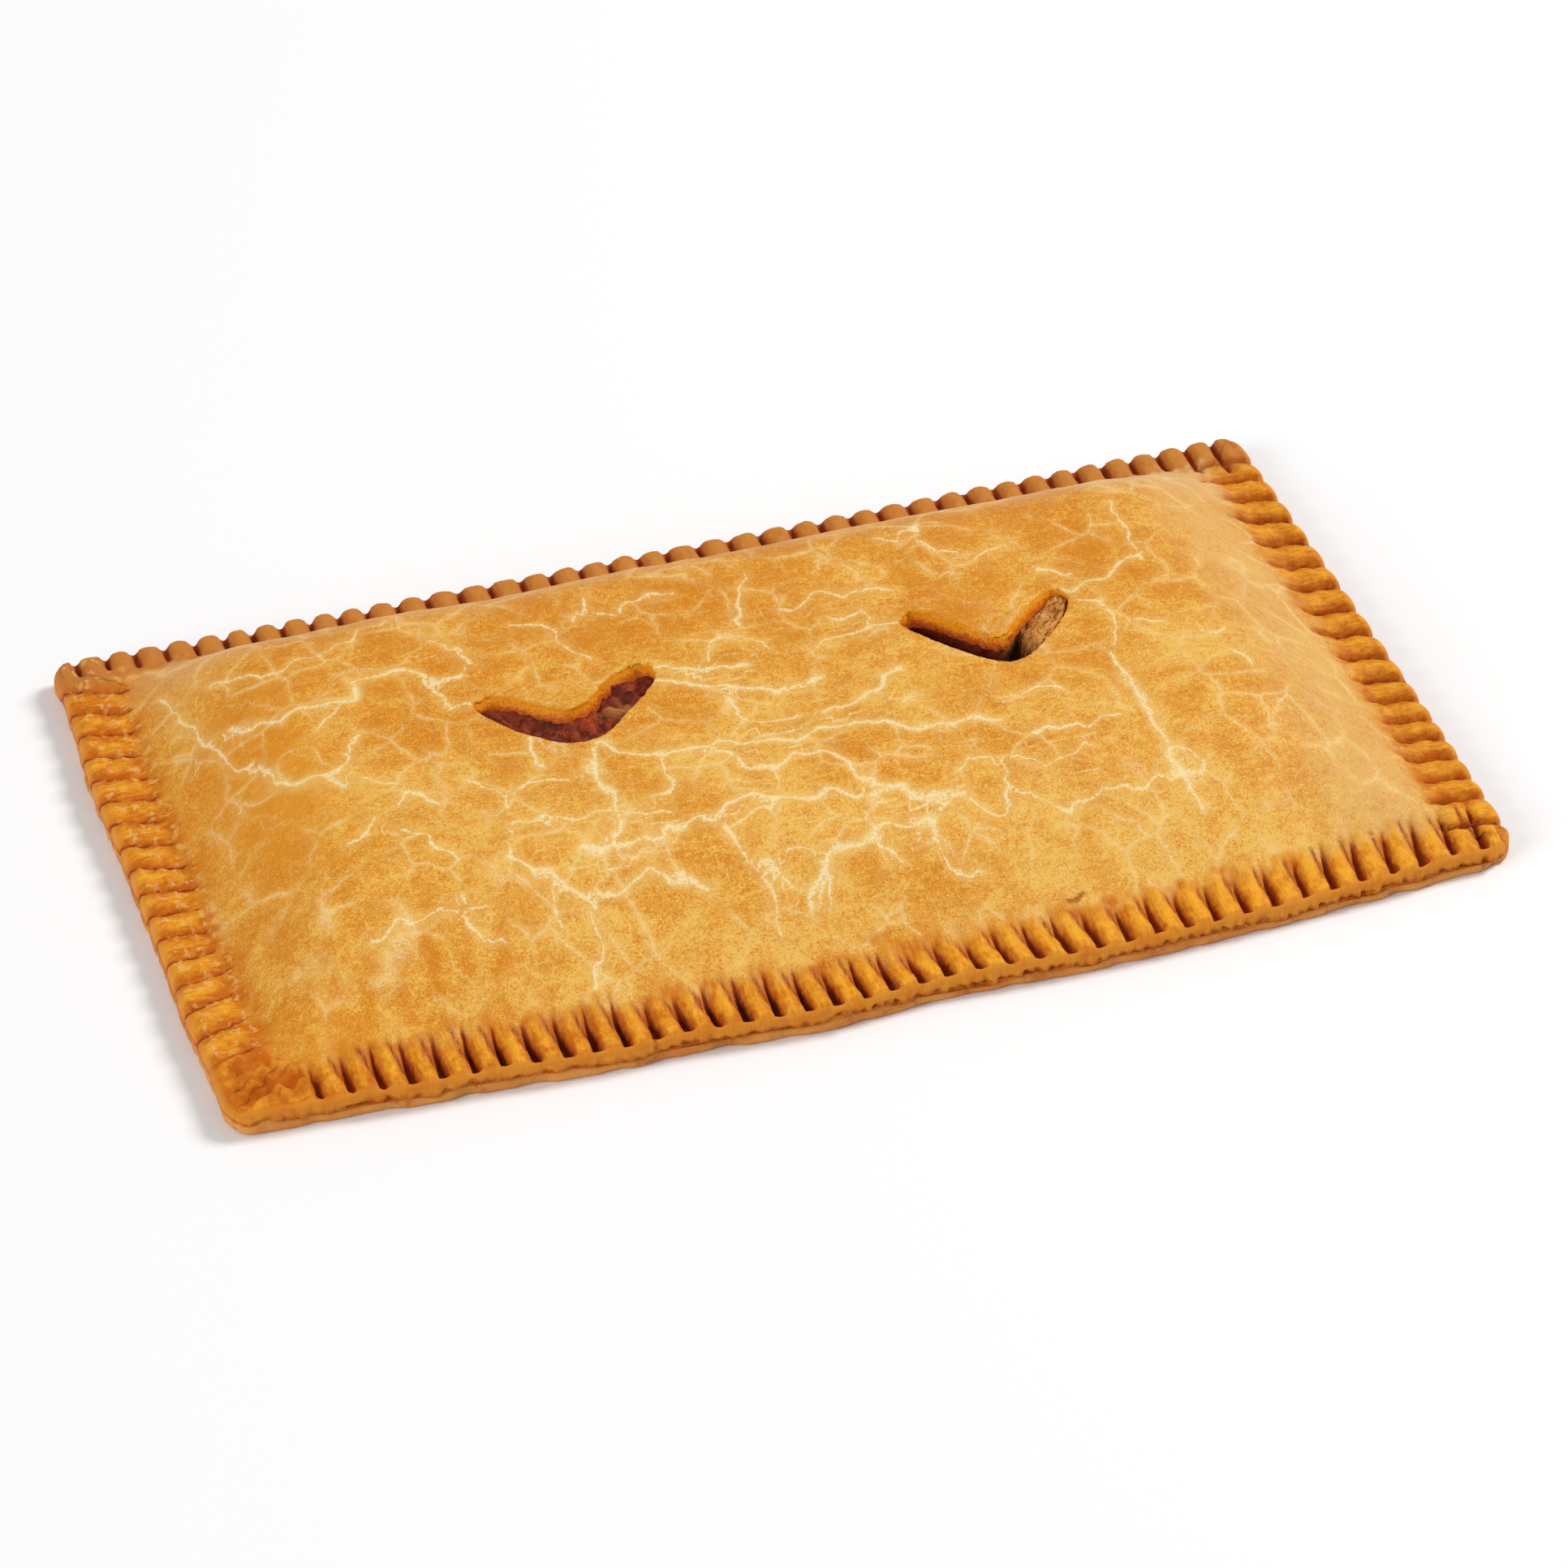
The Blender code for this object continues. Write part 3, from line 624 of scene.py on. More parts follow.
def addSheet(name, columns, rows):
    # a flat grid, and where each of its vertices stands in the square from -1 to 1
    leaveEdit()
    bpy.ops.object.select_all(action="DESELECT")
    bpy.ops.mesh.primitive_grid_add(x_subdivisions=len(columns) - 1, y_subdivisions=len(rows) - 1, size=2,
                                    location=(0, 0, 0))
    piece = bpy.context.object
    piece.name = piece.data.name = name
    flat = readPoints(piece) * mm
    column, row = (np.rint((flat[:, axis] + 1) / 2 * (len(places) - 1)).astype(int)
                   for axis, places in enumerate((columns, rows)))
    return piece, columns[column], rows[row]


def addColumn(name, around, loops):
    # a round column of unit steps, and which loop each point is in and how far round
    leaveEdit()
    bpy.ops.object.select_all(action="DESELECT")
    bpy.ops.mesh.primitive_circle_add(vertices=around, radius=1, fill_type="NGON", location=(0, 0, 0))
    piece = bpy.context.object
    piece.name = piece.data.name = name
    enterEdit(piece)
    bpy.ops.mesh.select_all(action="SELECT")
    for _ in range(loops - 1):
        bpy.ops.mesh.extrude_region_move(TRANSFORM_OT_translate={"value": (0, 0, 1)})
    leaveEdit()
    x, y, z = readPoints(piece).T * mm
    turn = np.rint(np.arctan2(y, x) / (2 * math.pi) * around).astype(int) % around
    return piece, np.rint(z).astype(int), turn


def smoothShade(piece, degrees):
    only(piece)
    bpy.ops.object.shade_smooth_by_angle(angle=math.radians(degrees))


lidMesh = {
    "bandsX": ((3, 0.6), (15, 1.0)), "middleX": 1.25, "bandsY": ((3, 0.6), (14, 0.9)), "middleY": 1.5,
    "rimBand": 15.5, "nearVent": 3.4, "undersideX": 60, "undersideY": 36, "undersideInset": 1.0,
    "wallLoops": 4, "wallRough": 0.15,
}


def addLidSheet():
    # a flat sheet on the plan, finer at the rim and the vents, then raised into the lid's top
    columns = spacing(plan["halfLength"], lidMesh["bandsX"], lidMesh["middleX"])
    rows = spacing(plan["halfWidth"], lidMesh["bandsY"], lidMesh["middleY"])
    lid, u, v = addSheet("baked_top_crust", columns, rows)
    x, y = ontoPlan(u, v, 0, plan["corners"])
    writePoints(lid, np.column_stack([x, y, np.zeros(len(x))]))
    refine(lid, edgeDistance(x, y) < lidMesh["rimBand"], 1)
    x, y = readPoints(lid)[:, :2].T
    nearVent = [np.abs(ventDistance(x, y, outline)[0]) < lidMesh["nearVent"] for outline in outlines.values()]
    refine(lid, np.any(nearVent, axis=0), 2)
    x, y = readPoints(lid)[:, :2].T
    writePoints(lid, np.column_stack([*pulled(x, y), lidParts(x, y)["height"]]))
    return lid


def wayRound(loop):
    # an open edge's points in order from the left, counter-clockwise, and the share of the way round at each
    start = min(loop, key=lambda vertex: (vertex.co.x, abs(vertex.co.y)))
    order = [start]
    last = None
    while len(order) == 1 or order[-1] is not start:
        here = order[-1]
        beside = [link.other_vert(here) for link in here.link_edges if link.is_boundary]
        if last is None:
            order.append(min(beside, key=lambda vertex: vertex.co.y))
        else:
            order.append(next(vertex for vertex in beside if vertex is not last))
        last = here
    lengths = [0.0]
    for first, second in zip(order[:-1], order[1:]):
        lengths.append(lengths[-1] + (second.co - first.co).length)
    return order, [length / lengths[-1] for length in lengths]


def stitchFoot(lid, wallCount):
    # triangles from the wall's foot to the edge of the underside, which has fewer points
    mesh = bmesh.new()
    mesh.from_mesh(lid.data)
    edge = [vertex for vertex in mesh.verts if vertex.is_boundary]
    outer, outerWay = wayRound([vertex for vertex in edge if vertex.index < wallCount])
    inner, innerWay = wayRound([vertex for vertex in edge if vertex.index >= wallCount])
    i = j = 0
    while i < len(outer) - 1 or j < len(inner) - 1:
        if j == len(inner) - 1 or (i < len(outer) - 1 and outerWay[i + 1] <= innerWay[j + 1]):
            mesh.faces.new((outer[i], outer[i + 1], inner[j]))
            i += 1
        else:
            mesh.faces.new((outer[i], inner[j + 1], inner[j]))
            j += 1
    mesh.to_mesh(lid.data)
    mesh.free()


def closeLid(lid):
    # the outer wall comes down in loops, a little rough, and is stitched to a coarser underside
    for loopsLeft in range(lidMesh["wallLoops"], 0, -1):
        before = extrudeRim(lid)
        points = readPoints(lid)
        x, y, z = points[before:].T
        foot = lidFoot + seamRise(x, y)
        rough = lidMesh["wallRough"] * swell(x + y, z * 2, 3.5, 53) if loopsLeft > 1 else 0
        points[before:, 1] += rough * np.sign(y)
        points[before:, 2] += (foot - z) / loopsLeft
        writePoints(lid, points)
    columns, rows = (np.linspace(-1, 1, lidMesh[name] + 1) for name in ("undersideX", "undersideY"))
    under, u, v = addSheet("lid_underside", columns, rows)
    x, y = ontoPlan(u, v, lidMesh["undersideInset"], plan["corners"])
    height = np.maximum(lidInside(x, y), lidFoot) + seamRise(x, y)
    writePoints(under, np.column_stack([*pulled(x, y), height]))
    wallCount = len(lid.data.vertices)
    only(lid)
    under.select_set(True)
    bpy.ops.object.join()
    stitchFoot(lid, wallCount)
    faceOut(lid)


def addVentCutter(name):
    # a column with the vent's outline, its side walls fine enough to be rough
    outline = outlines[name]
    fine = np.arange(ventSettings["fineFrom"], ventSettings["fineTo"], ventSettings["fineStep"])
    levels = np.array([ventSettings["lowest"], ventSettings["second"], *fine, ventSettings["highest"]])
    cutter, loop, turn = addColumn("vent_cutter_" + name, len(outline), len(levels))
    height = levels[loop]
    tongue = tongueSide(outline)[turn]
    x, y = outline[turn].T
    rough = 0.16 * swell(x + height, y - height, 2.4, 63)
    rough += 0.12 * swell(x * 1.4, y * 1.4 + height * 3, 1.6, 64)
    rough *= 0.5 + tongue
    lean = (ventSettings["leanBelow"] - height) * ventSettings["lean"][name]
    lean = np.clip(lean, 0, ventSettings["mostLean"]) * tongue
    away = np.column_stack([x, y]) - outline.mean(axis=0)
    away /= np.maximum(np.hypot(*away.T), 1e-6)[:, None]
    writePoints(cutter, np.column_stack([x + away[:, 0] * rough, y + away[:, 1] * rough - lean, height]))
    faceOut(cutter)
    return cutter


def cutVents(lid):
    for name in vents:
        cutter = addVentCutter(name)
        only(lid)
        modifier = lid.modifiers.new("cut_" + name, "BOOLEAN")
        modifier.operation = "DIFFERENCE"
        modifier.solver = "EXACT"
        modifier.object = cutter
        bpy.ops.object.modifier_apply(modifier=modifier.name)
        bpy.data.objects.remove(cutter)


def roundVentEdges(lid):
    # the crust's edge rolls over into each vent, more on the tongue
    x, y, z = readPoints(lid).T
    top = lidParts(x, y)["height"]
    for outline in outlines.values():
        distance, nearest = ventDistance(x, y, outline)
        tongue = tongueSide(outline)[nearest]
        radius = between(ventSettings["roundOuter"], ventSettings["roundInner"], tongue)
        onTop = (np.abs(z - top) < 0.25) & (distance > -1.2)
        rolled = np.clip(1 - np.maximum(distance, 0) / radius, 0, 1)
        drop = radius * (1 - np.sqrt(1 - rolled ** 2))
        bead = np.exp(-((distance - ventSettings["beadAt"]) / ventSettings["beadWidth"]) ** 2)
        z = np.where(onTop & (distance < 8), z - drop + ventSettings["bead"] * tongue * bead, z)
        onWall = (~onTop) & (np.abs(distance) < 1.3) & (z > top - radius - 0.15)
        z = np.where(onWall, np.minimum(z, top - radius - 0.05), z)
    writePoints(lid, np.column_stack([x, y, z]))


lidZones = {
    "rimReach": {"front": 13, "back": 11.5, "left": 14.5, "right": 14},      # how far in the browner rim goes
    # patches: how strong, the middle, and how far they reach both ways
    # the patches that lighten the top at the front and front right are painted light
    "toastAndLight": ((-0.42, 85, -70, 45, 15), (-0.12, -20, -50, 60, 22), (-0.25, -40, -74, 70, 8),
              (-0.16, -120, -4, 16, 28)),
    "saffron": ((1, -118, 8, 13, 32), (0.6, -124, -72, 14, 9)),
    "crest": ((-0.6, -146, 80, 16, 16),),
}


def patches(x, y, name):
    return sum(strength * spot(x, y, *place) for strength, *place in lidZones[name])


def crackRoutes(kind):
    moved = [np.reshape(route, (-1, 2)) + cracks["shift"] for route in cracks[kind]]
    return moved + [np.reshape(route, (-1, 2)) for route in cracks[kind + "Middle"]]


def storeLidMasks(lid):
    # what the lid's material needs to know about each place
    x, y, z = readPoints(lid).T
    x, y = unpulled(x, y)
    parts = lidParts(x, y)
    side = parts["side"]
    front, back, left, right = side.values()
    bentX, bentY = (along + cracks["unevenness"] * swell(x, y, cracks["unevenLength"], seed)
                    + 0.2 * swell(x, y, 3.5, seed + 2) for along, seed in ((x, 81), (y, 82)))
    strong = crackRoutes("strong")
    step, which = nearestRoute(bentX, bentY, strong + crackRoutes("faint"), cracks["reach"])
    storeSteps(lid, "crackStep", *step.T, np.where(which < len(strong), 1.0, cracks["faintness"]))
    step, which = nearestRoute(x, y, [np.reshape(route, (-1, 2)) for route in marks], 5)
    storeSteps(lid, "markStep", *step.T, 0 * x)
    storeSteps(lid, "acrossX", *parts["acrossX"])
    storeSteps(lid, "acrossY", *parts["acrossY"])
    nearEnd = np.minimum(front, back) < np.minimum(left, right)
    storeSteps(lid, "fibre", np.where(nearEnd, x, y), np.min(list(side.values()), axis=0) * 0.18, 0 * x)

    # browning, with painted light and shade: the top painted lighter towards the front and front right, darker
    # towards the back
    toastAndLight = 0.52 + 0.07 * swell(x, y, 42, 91) + 0.22 * ease(-25, 45, y) + patches(x, y, "toastAndLight")
    toastAndLight += 0.05 * (1 - ease(-135, -112, x)) - 0.08 * ease(70, 105, x) * ease(-60, -20, y)
    toastAndLight += 0.3 * np.clip(swell(x, y, 8, 93), 0, 2) * spot(x, y, -100, -62, 40, 16)
    ragged = 0.7 * swell(x, y, 3.5, 21) + 1.0 * swell(x, y, 11, 22)
    frontRightHighlight = ease(-40, 30, x) * (1 - ease(14, 20, front))
    cutDepth = np.zeros(len(x))
    for outline in outlines.values():
        close = np.abs(ventDistance(x, y, outline)[0]) < 2.5
        cutDepth = np.where(close, np.maximum(parts["height"] - z, 0), cutDepth)
    masks = {
        "toastAndLight": toastAndLight, "cutDepth": cutDepth, "saffron": patches(x, y, "saffron"),
        # ridge tops painted lighter as a painted highlight, more so at the front right
        "crest": parts["crest"] + 0.3 * frontRightHighlight + patches(x, y, "crest"),
        "rimPaint": np.max([1 - ease(reach - 3, reach + 3, side[name] + ragged)
                            for name, reach in lidZones["rimReach"].items()], axis=0),
        # the back rim and the far back slope get a painted sheen, paler and greyer
        "backSide": 1 - ease(10, 18, back), "backSlopeSheen": ease(48, 70, y) * ease(-150, -105, x),
        # a band up the right slope gets a painted sheen
        "rightSlopeSheen": ease(11, 20, right) * (1 - ease(30, 50, right)),
        # painted shade at the foot of the lid, where it meets the bottom crust
        "lipBand": 1 - ease(0.7, 1.6, parts["inward"]), "seamShade": 1 - ease(3.5, 4.3, z - seamRise(x, y)),
        **{name: parts[name] for name in ("flakes", "corner", "foldAndShade")},
    }
    for name, values in masks.items():
        storeNumbers(lid, name, values)


fillingMesh = {"inset": 17, "coarse": 5, "fine": 0.5, "nearX": ((-70, -24), (31, 78)), "nearY": ((-13, 18),)}


def fillingSpacing(half, zones):
    # coarse cells, with fine ones where a vent shows the filling
    places = []
    at = -half
    for low, high in zones:
        places += list(np.linspace(at, low, max(2, round((low - at) / fillingMesh["coarse"])) + 1)[:-1])
        places += list(np.linspace(low, high, round((high - low) / fillingMesh["fine"]) + 1)[:-1])
        at = high
    places += list(np.linspace(at, half, max(2, round((half - at) / fillingMesh["coarse"])) + 1))
    return np.array(places) / half


def addFilling():
    inset = fillingMesh["inset"]
    columns = fillingSpacing(plan["halfLength"] - inset, fillingMesh["nearX"])
    rows = fillingSpacing(plan["halfWidth"] - inset, fillingMesh["nearY"])
    piece, u, v = addSheet("tuna_filling", columns, rows)
    x, y = ontoPlan(u, v, inset, plan["fillingCorners"])
    writePoints(piece, np.column_stack([x, y, fillingTop(x, y)]))
    before = extrudeRim(piece)
    points = readPoints(piece)
    points[before:, 2] = lidFoot
    writePoints(piece, points)
    enterEdit(piece)
    pickRim()
    bpy.ops.mesh.edge_face_add()
    faceOut(piece)
    x, y, z = readPoints(piece).T
    pale = 1.6 * spot(x, y, *fillingLook["chunk"], 8, 12) + 0.5 * spot(x, y, -36, 5, 3, 2)
    storeNumbers(piece, "pale", pale)
    # painted shade at the foot of the vent walls and where the filling lies deep in the vents
    storeNumbers(piece, "shade", spot(x, y, -52.5, 5, 3, 2.5) + 0.6 * spot(x, y, -32, 9, 2.5, 2))
    storeNumbers(piece, "pepper", spot(x, y, -44, 1.5, 6, 3.5))
    storeNumbers(piece, "sunk", ease(1.5, 5, lidInside(x, y) - z))
    return piece


baseMesh = {
    "around": 1200, "inset": -0.1, "edgeLump": 0.45, "edgeLumpLength": 12,
    # inset and height of each loop, from the middle of the underside to the middle of the top
    "loops": ((6, 0), (1.3, 0), (0.5, 0.22), (0.08, 0.8), (0, 1.5), (0.1, 2.2), (0.45, 2.75), (1.1, 3.0),
              (7, 3.0)),
}


def baseLoop(inset):
    # the plan's edge at even steps, a given distance in
    steps = np.arange(baseMesh["around"]) / baseMesh["around"]
    length = plan["halfLength"] / (plan["halfLength"] + plan["halfWidth"]) / 2
    width = 0.5 - length
    corners = np.array([0, width / 2, width / 2 + length, width * 1.5 + length, width * 1.5 + 2 * length, 1])
    u = np.interp(steps, corners, (1, 1, -1, -1, 1, 1))
    v = np.interp(steps, corners, (0, 1, 1, -1, -1, 0))
    return ontoPlan(u, v, inset, plan["corners"])


def addBottomCrust():
    piece, loop, turn = addColumn("baked_bottom_crust", baseMesh["around"], len(baseMesh["loops"]))
    points = np.zeros((len(loop), 3))
    fromX, fromY = baseLoop(baseMesh["inset"])
    outX, outY = pulled(fromX, fromY)
    for number, (inset, height) in enumerate(baseMesh["loops"]):
        chosen = loop == number
        here = turn[chosen]
        x, y = baseLoop(baseMesh["inset"] + inset)
        x = x[here] + (outX - fromX)[here] * math.exp(-inset / 4)
        y = y[here] + (outY - fromY)[here] * math.exp(-inset / 4)
        edge = math.exp(-(inset / 1.2) ** 2)
        lump = np.maximum(baseMesh["edgeLump"] * swell(x, y, baseMesh["edgeLumpLength"], 51) * edge, 0)
        x = x - np.sign(x) * lump * 0.6
        y = y + np.where(y < 0, 1, -1) * lump
        rise = seamRise(x, y) * (height / plan["baseTop"]) ** 2 if inset < 5 else 0
        points[chosen] = np.column_stack([x, y, height + rise + 0 * x])
    writePoints(piece, points)
    faceOut(piece)
    return piece


def srgb(red, green, blue):
    # a colour as a picture shows it, made linear
    linear = [c / 255 / 12.92 if c < 10.3 else ((c / 255 + 0.055) / 1.055) ** 2.4 for c in (red, green, blue)]
    return (*linear, 1.0)


class Shade:
    # one socket of a material; sums of these add its maths nodes
    def __init__(self, tree, socket=None):
        self.tree = tree
        self.socket = socket

    def make(self, kind, settings=None, inputs=None, output=0):
        node = self.tree.nodes.new(kind)
        for setting, value in (settings or {}).items():
            setattr(node, setting, value)
        for place, value in (inputs or {}).items():
            if isinstance(value, Shade):
                self.tree.links.new(value.socket, node.inputs[place])
            else:
                node.inputs[place].default_value = value
        return Shade(self.tree, node.outputs[output] if node.outputs else None)

    def maths(self, operation, *values):
        return self.make("ShaderNodeMath", {"operation": operation}, dict(enumerate(values)))

    def __add__(self, other):
        return self.maths("ADD", self, other)

    def __radd__(self, other):
        return self.maths("ADD", other, self)

    def __sub__(self, other):
        return self.maths("SUBTRACT", self, other)

    def __rsub__(self, other):
        return self.maths("SUBTRACT", other, self)

    def __mul__(self, other):
        return self.maths("MULTIPLY", self, other)

    def __rmul__(self, other):
        return self.maths("MULTIPLY", other, self)

    def __truediv__(self, other):
        return self.maths("DIVIDE", self, other)

    def __pow__(self, other):
        return self.maths("POWER", self, other)

    def parted(self):
        # the three numbers of a vector
        node = self.make("ShaderNodeSeparateXYZ", None, {0: self}).socket.node
        return [Shade(self.tree, socket) for socket in node.outputs]

    def length(self):
        return self.make("ShaderNodeVectorMath", {"operation": "LENGTH"}, {0: self}, 1)

    def clamped(self):
        return self.make("ShaderNodeClamp", None, {0: self})

    def from_(self, low, high):
        # 0 below low, 1 above high, smooth between them; either may vary
        return self.make("ShaderNodeMapRange", {"interpolation_type": "SMOOTHSTEP"},
                         {0: self, 1: low, 2: high})

    def mixed(self, low, high):
        # two colours, mixed by this share
        return self.make("ShaderNodeMix", {"data_type": "RGBA"}, {0: self, 6: low, 7: high}, 2)

    def paint(self, colour, share):
        # this colour painted over with another one
        return share.mixed(self, colour)

    def move(self, other):
        return self.make("ShaderNodeVectorMath", {"operation": "ADD"}, {0: self, 1: other})

    def times(self, amount):
        return self.make("ShaderNodeVectorMath", {"operation": "SCALE"}, {0: self, 3: amount})

    def turned(self, angle):
        return self.make("ShaderNodeMapping", None, {"Vector": self, "Rotation": (0, 0, angle)})

    def stretched(self, x, y, z):
        return self.make("ShaderNodeVectorMath", {"operation": "MULTIPLY"}, {0: self, 1: (x, y, z)})

    def grain(self, size, detail=3.0, rough=0.55, output=0):
        # soft noise, its bumps about this many millimetres apart
        return self.make("ShaderNodeTexNoise", None, {"Vector": self, "Scale": 1 / size, "Detail": detail,
                                                      "Roughness": rough}, output)

    def wander(self, size, amount, detail=2.0):
        # this place, shifted about by noise
        centred = self.grain(size, detail, 0.6, 1).move((-0.5, -0.5, -0.5))
        return self.move(centred.times(amount))

    def cells(self, size):
        # how far the edge of the nearest cell is, as a share of the cells' size
        return self.make("ShaderNodeTexVoronoi", {"feature": "DISTANCE_TO_EDGE"},
                         {"Vector": self, "Scale": 1 / size})


def numberOn(base, name):
    # one of the numbers stored on the mesh
    return base.make("ShaderNodeAttribute", {"attribute_name": name}, None, 2)


def stepsOn(base, name):
    return base.make("ShaderNodeAttribute", {"attribute_name": name}, None, 1)


def startMaterial(name):
    material = bpy.data.materials.new(name)
    material.use_nodes = True
    material.node_tree.nodes.clear()
    base = Shade(material.node_tree)
    place = base.make("ShaderNodeTexCoord", None, None, 3).times(1000.0)
    return material, base, place


def finishMaterial(base, colour, roughness, heightMm, coat, settings):
    # heights come in millimetres
    normal = base.make("ShaderNodeBump", None, {"Height": heightMm, "Distance": mm, "Strength": 1.0})
    inputs = {"Base Color": colour, "Roughness": roughness, "Normal": normal, "Coat Weight": coat}
    shader = base.make("ShaderNodeBsdfPrincipled", None, {**inputs, **settings})
    base.make("ShaderNodeOutputMaterial", None, {"Surface": shader})


lidPaint = {
    "pale": srgb(240, 191, 94), "golden": srgb(229, 160, 56), "toasted": srgb(214, 130, 20),
    "crack": srgb(252, 229, 174), "halo": srgb(243, 202, 120), "speck": srgb(140, 70, 20),
    "rim": srgb(202, 106, 8), "ridge": srgb(244, 170, 42),
    "burntInShade": srgb(160, 64, 16), "charredInShade": srgb(92, 22, 8),
    "wallShade": srgb(186, 88, 18), "backRimSheen": srgb(196, 124, 54), "backSlopeSheen": srgb(230, 180, 118),
    "flake": srgb(236, 184, 104), "saffron": srgb(226, 140, 10), "lip": srgb(220, 140, 42),
    "seamShade": srgb(164, 72, 18), "foldAndShade": srgb(150, 62, 18), "rightSlopeSheen": srgb(222, 174, 100),
    "cutTop": srgb(246, 162, 16), "cutMiddle": srgb(206, 90, 24), "cutDeepShade": srgb(98, 30, 14),
    "mark": srgb(168, 78, 14), "roughness": 0.55, "coat": 0.03, "coatRoughness": 0.4, "specular": 0.16,
    # the grooves' pitch both ways, and how much wider a groove's shaded wall is than its other one
    "pitchX": 7.1, "pitchY": 8.8, "wallReach": 1.8,
}


def furrow(base, name, pitch, grain):
    # how dark a row of grooves is painted here: painted shade on the wall of its shaded side, and browning with
    # painted shade on the floor
    sine, cosine, floor = stepsOn(base, name).parted()
    burnAndShade = (sine * sine + cosine * cosine) ** 0.5
    off = sine.maths("ARCTAN2", sine, cosine) * (pitch / (2 * math.pi)) + grain
    away = off.maths("MAXIMUM", off / lidPaint["wallReach"], off * -1)
    wall = burnAndShade * (1 - away.from_(floor, floor + 0.9))
    return wall, burnAndShade, (1 - away.from_(floor * 0.6, floor + 0.25)) * burnAndShade.from_(0.02, 0.3)


def paintLid():
    material, base, place = startMaterial("baked_lid")
    names = ("toastAndLight", "rimPaint", "crest", "foldAndShade", "flakes", "corner", "saffron", "backSide", "backSlopeSheen",
             "rightSlopeSheen", "lipBand", "seamShade", "cutDepth")
    (toastAndLight, rim, crest, foldAndShade, flakes, corner, saffron, backSide, backSlopeSheen,
     rightSlopeSheen, lipBand, seamShade, cutDepth) = (numberOn(base, name) for name in names)

    blotch = place.wander(8, 6).grain(24, 3, 0.6)
    mottle = place.wander(4, 3).grain(6.5, 4, 0.65)
    fine = place.grain(1.5, 4, 0.7)
    pores = place.grain(0.45, 2, 0.6)
    brushed = place.stretched(0.3, 1, 1).grain(2.0, 4, 0.65)
    hairs = place.turned(0.75).stretched(0.12, 1, 1).grain(1.1, 3, 0.6)
    onTop = 1 - rim

    # cracks: grainy pale lines with a soft blond halo, then a finer net between them
    crackStep = stepsOn(base, "crackStep")
    strong = crackStep.parted()[2]
    wobble = place.grain(1.6, 3, 0.65, 1).move((-0.5, -0.5, -0.5)).stretched(0.9, 0.9, 0)
    crackAway = crackStep.stretched(1, 1, 0).move(wobble).length()
    crumbs = place.grain(0.6, 3, 0.7)
    width = place.grain(7, 2, 0.5).from_(0.3, 0.7) * 0.8 + 0.42
    near = 1 - crackAway / (width * strong * 1.5)
    core = (near + (crumbs - 0.5) * 2.8 + (pores - 0.5) * 1.2).from_(0.35, 0.9)
    core = core * (near + 0.9).from_(0.0, 0.9) * onTop
    halo = (1 - crackAway.from_(0.2, 3.2)) * strong * onTop
    netAway = place.stretched(1, 1, 0).wander(8, 5, 3).cells(13)
    netMask = place.grain(15, 2, 0.5).from_(0.4, 0.62) * onTop
    net = (0.7 - netAway * 14 + (crumbs - 0.5) * 2.4).from_(0.2, 1.0) * netMask
    netSoft = (1 - netAway.from_(0.0, 0.12)) * netMask
    inCell = crackAway.from_(0.5, 6.5) * netAway.from_(0.05, 0.35) * onTop
    flecks = (crumbs + (mottle - 0.5) * 0.7).from_(0.56, 0.72) * onTop

    tone = toastAndLight + (blotch - 0.5) * 1.2 + (mottle - 0.5) * 1.5 + (brushed - 0.5) * 0.7 + (fine - 0.5) * 1.7
    tone = tone + (pores - 0.5) * 2.4 + (crumbs - 0.5) * 1.6 + inCell * 0.22 - 0.02
    colour = tone.from_(0.0, 0.52).mixed(lidPaint["pale"], lidPaint["golden"])
    colour = colour.paint(lidPaint["toasted"], tone.from_(0.5, 1.05))
    colour = colour.paint(lidPaint["saffron"], saffron * (mottle.from_(0.3, 0.6) * 0.4 + 0.55))
    # painted sheen: a paler, greyer band up the right slope
    colour = colour.paint(lidPaint["rightSlopeSheen"], rightSlopeSheen * (hairs.from_(0.35, 0.65) * 0.6 + 0.25))
    # painted sheen: the far back slope paler and greyer
    colour = colour.paint(lidPaint["backSlopeSheen"], (backSlopeSheen * (mottle.from_(0.3, 0.65) * 0.5 + 0.5)).clamped())
    haloShare = (halo * (0.2 + fine * 0.4) + netSoft * 0.3 + flecks * 0.3).clamped()
    colour = colour.paint(lidPaint["halo"], haloShare)
    colour = colour.paint(lidPaint["crack"], (core * 0.85 + net * 0.5).clamped())

    # fine brown specks, thickest along the cracks
    speckle = pores.from_(0.6, 0.7) * (place.grain(12, 2).from_(0.42, 0.6) * 0.5 + core * 0.7)
    colour = colour.paint(lidPaint["speck"], (speckle * onTop).clamped() * 0.6)

    # the rim: ridges with a painted highlight on their tops, grooves and the smooth lip
    streak = stepsOn(base, "fibre").grain(0.8, 3, 0.6)
    rimTone = (mottle - 0.5) * 1.6 + (fine - 0.5) * 1.4 + (streak - 0.5) * (1.8 - corner * 1.5)
    rimTone = rimTone + corner * ((mottle - 0.5) * 1.5 + 0.05)
    # painted highlight: the rim colour lightens towards each ridge's top
    rimColour = (crest * 0.7 + rimTone).clamped().mixed(lidPaint["rim"], lidPaint["ridge"])
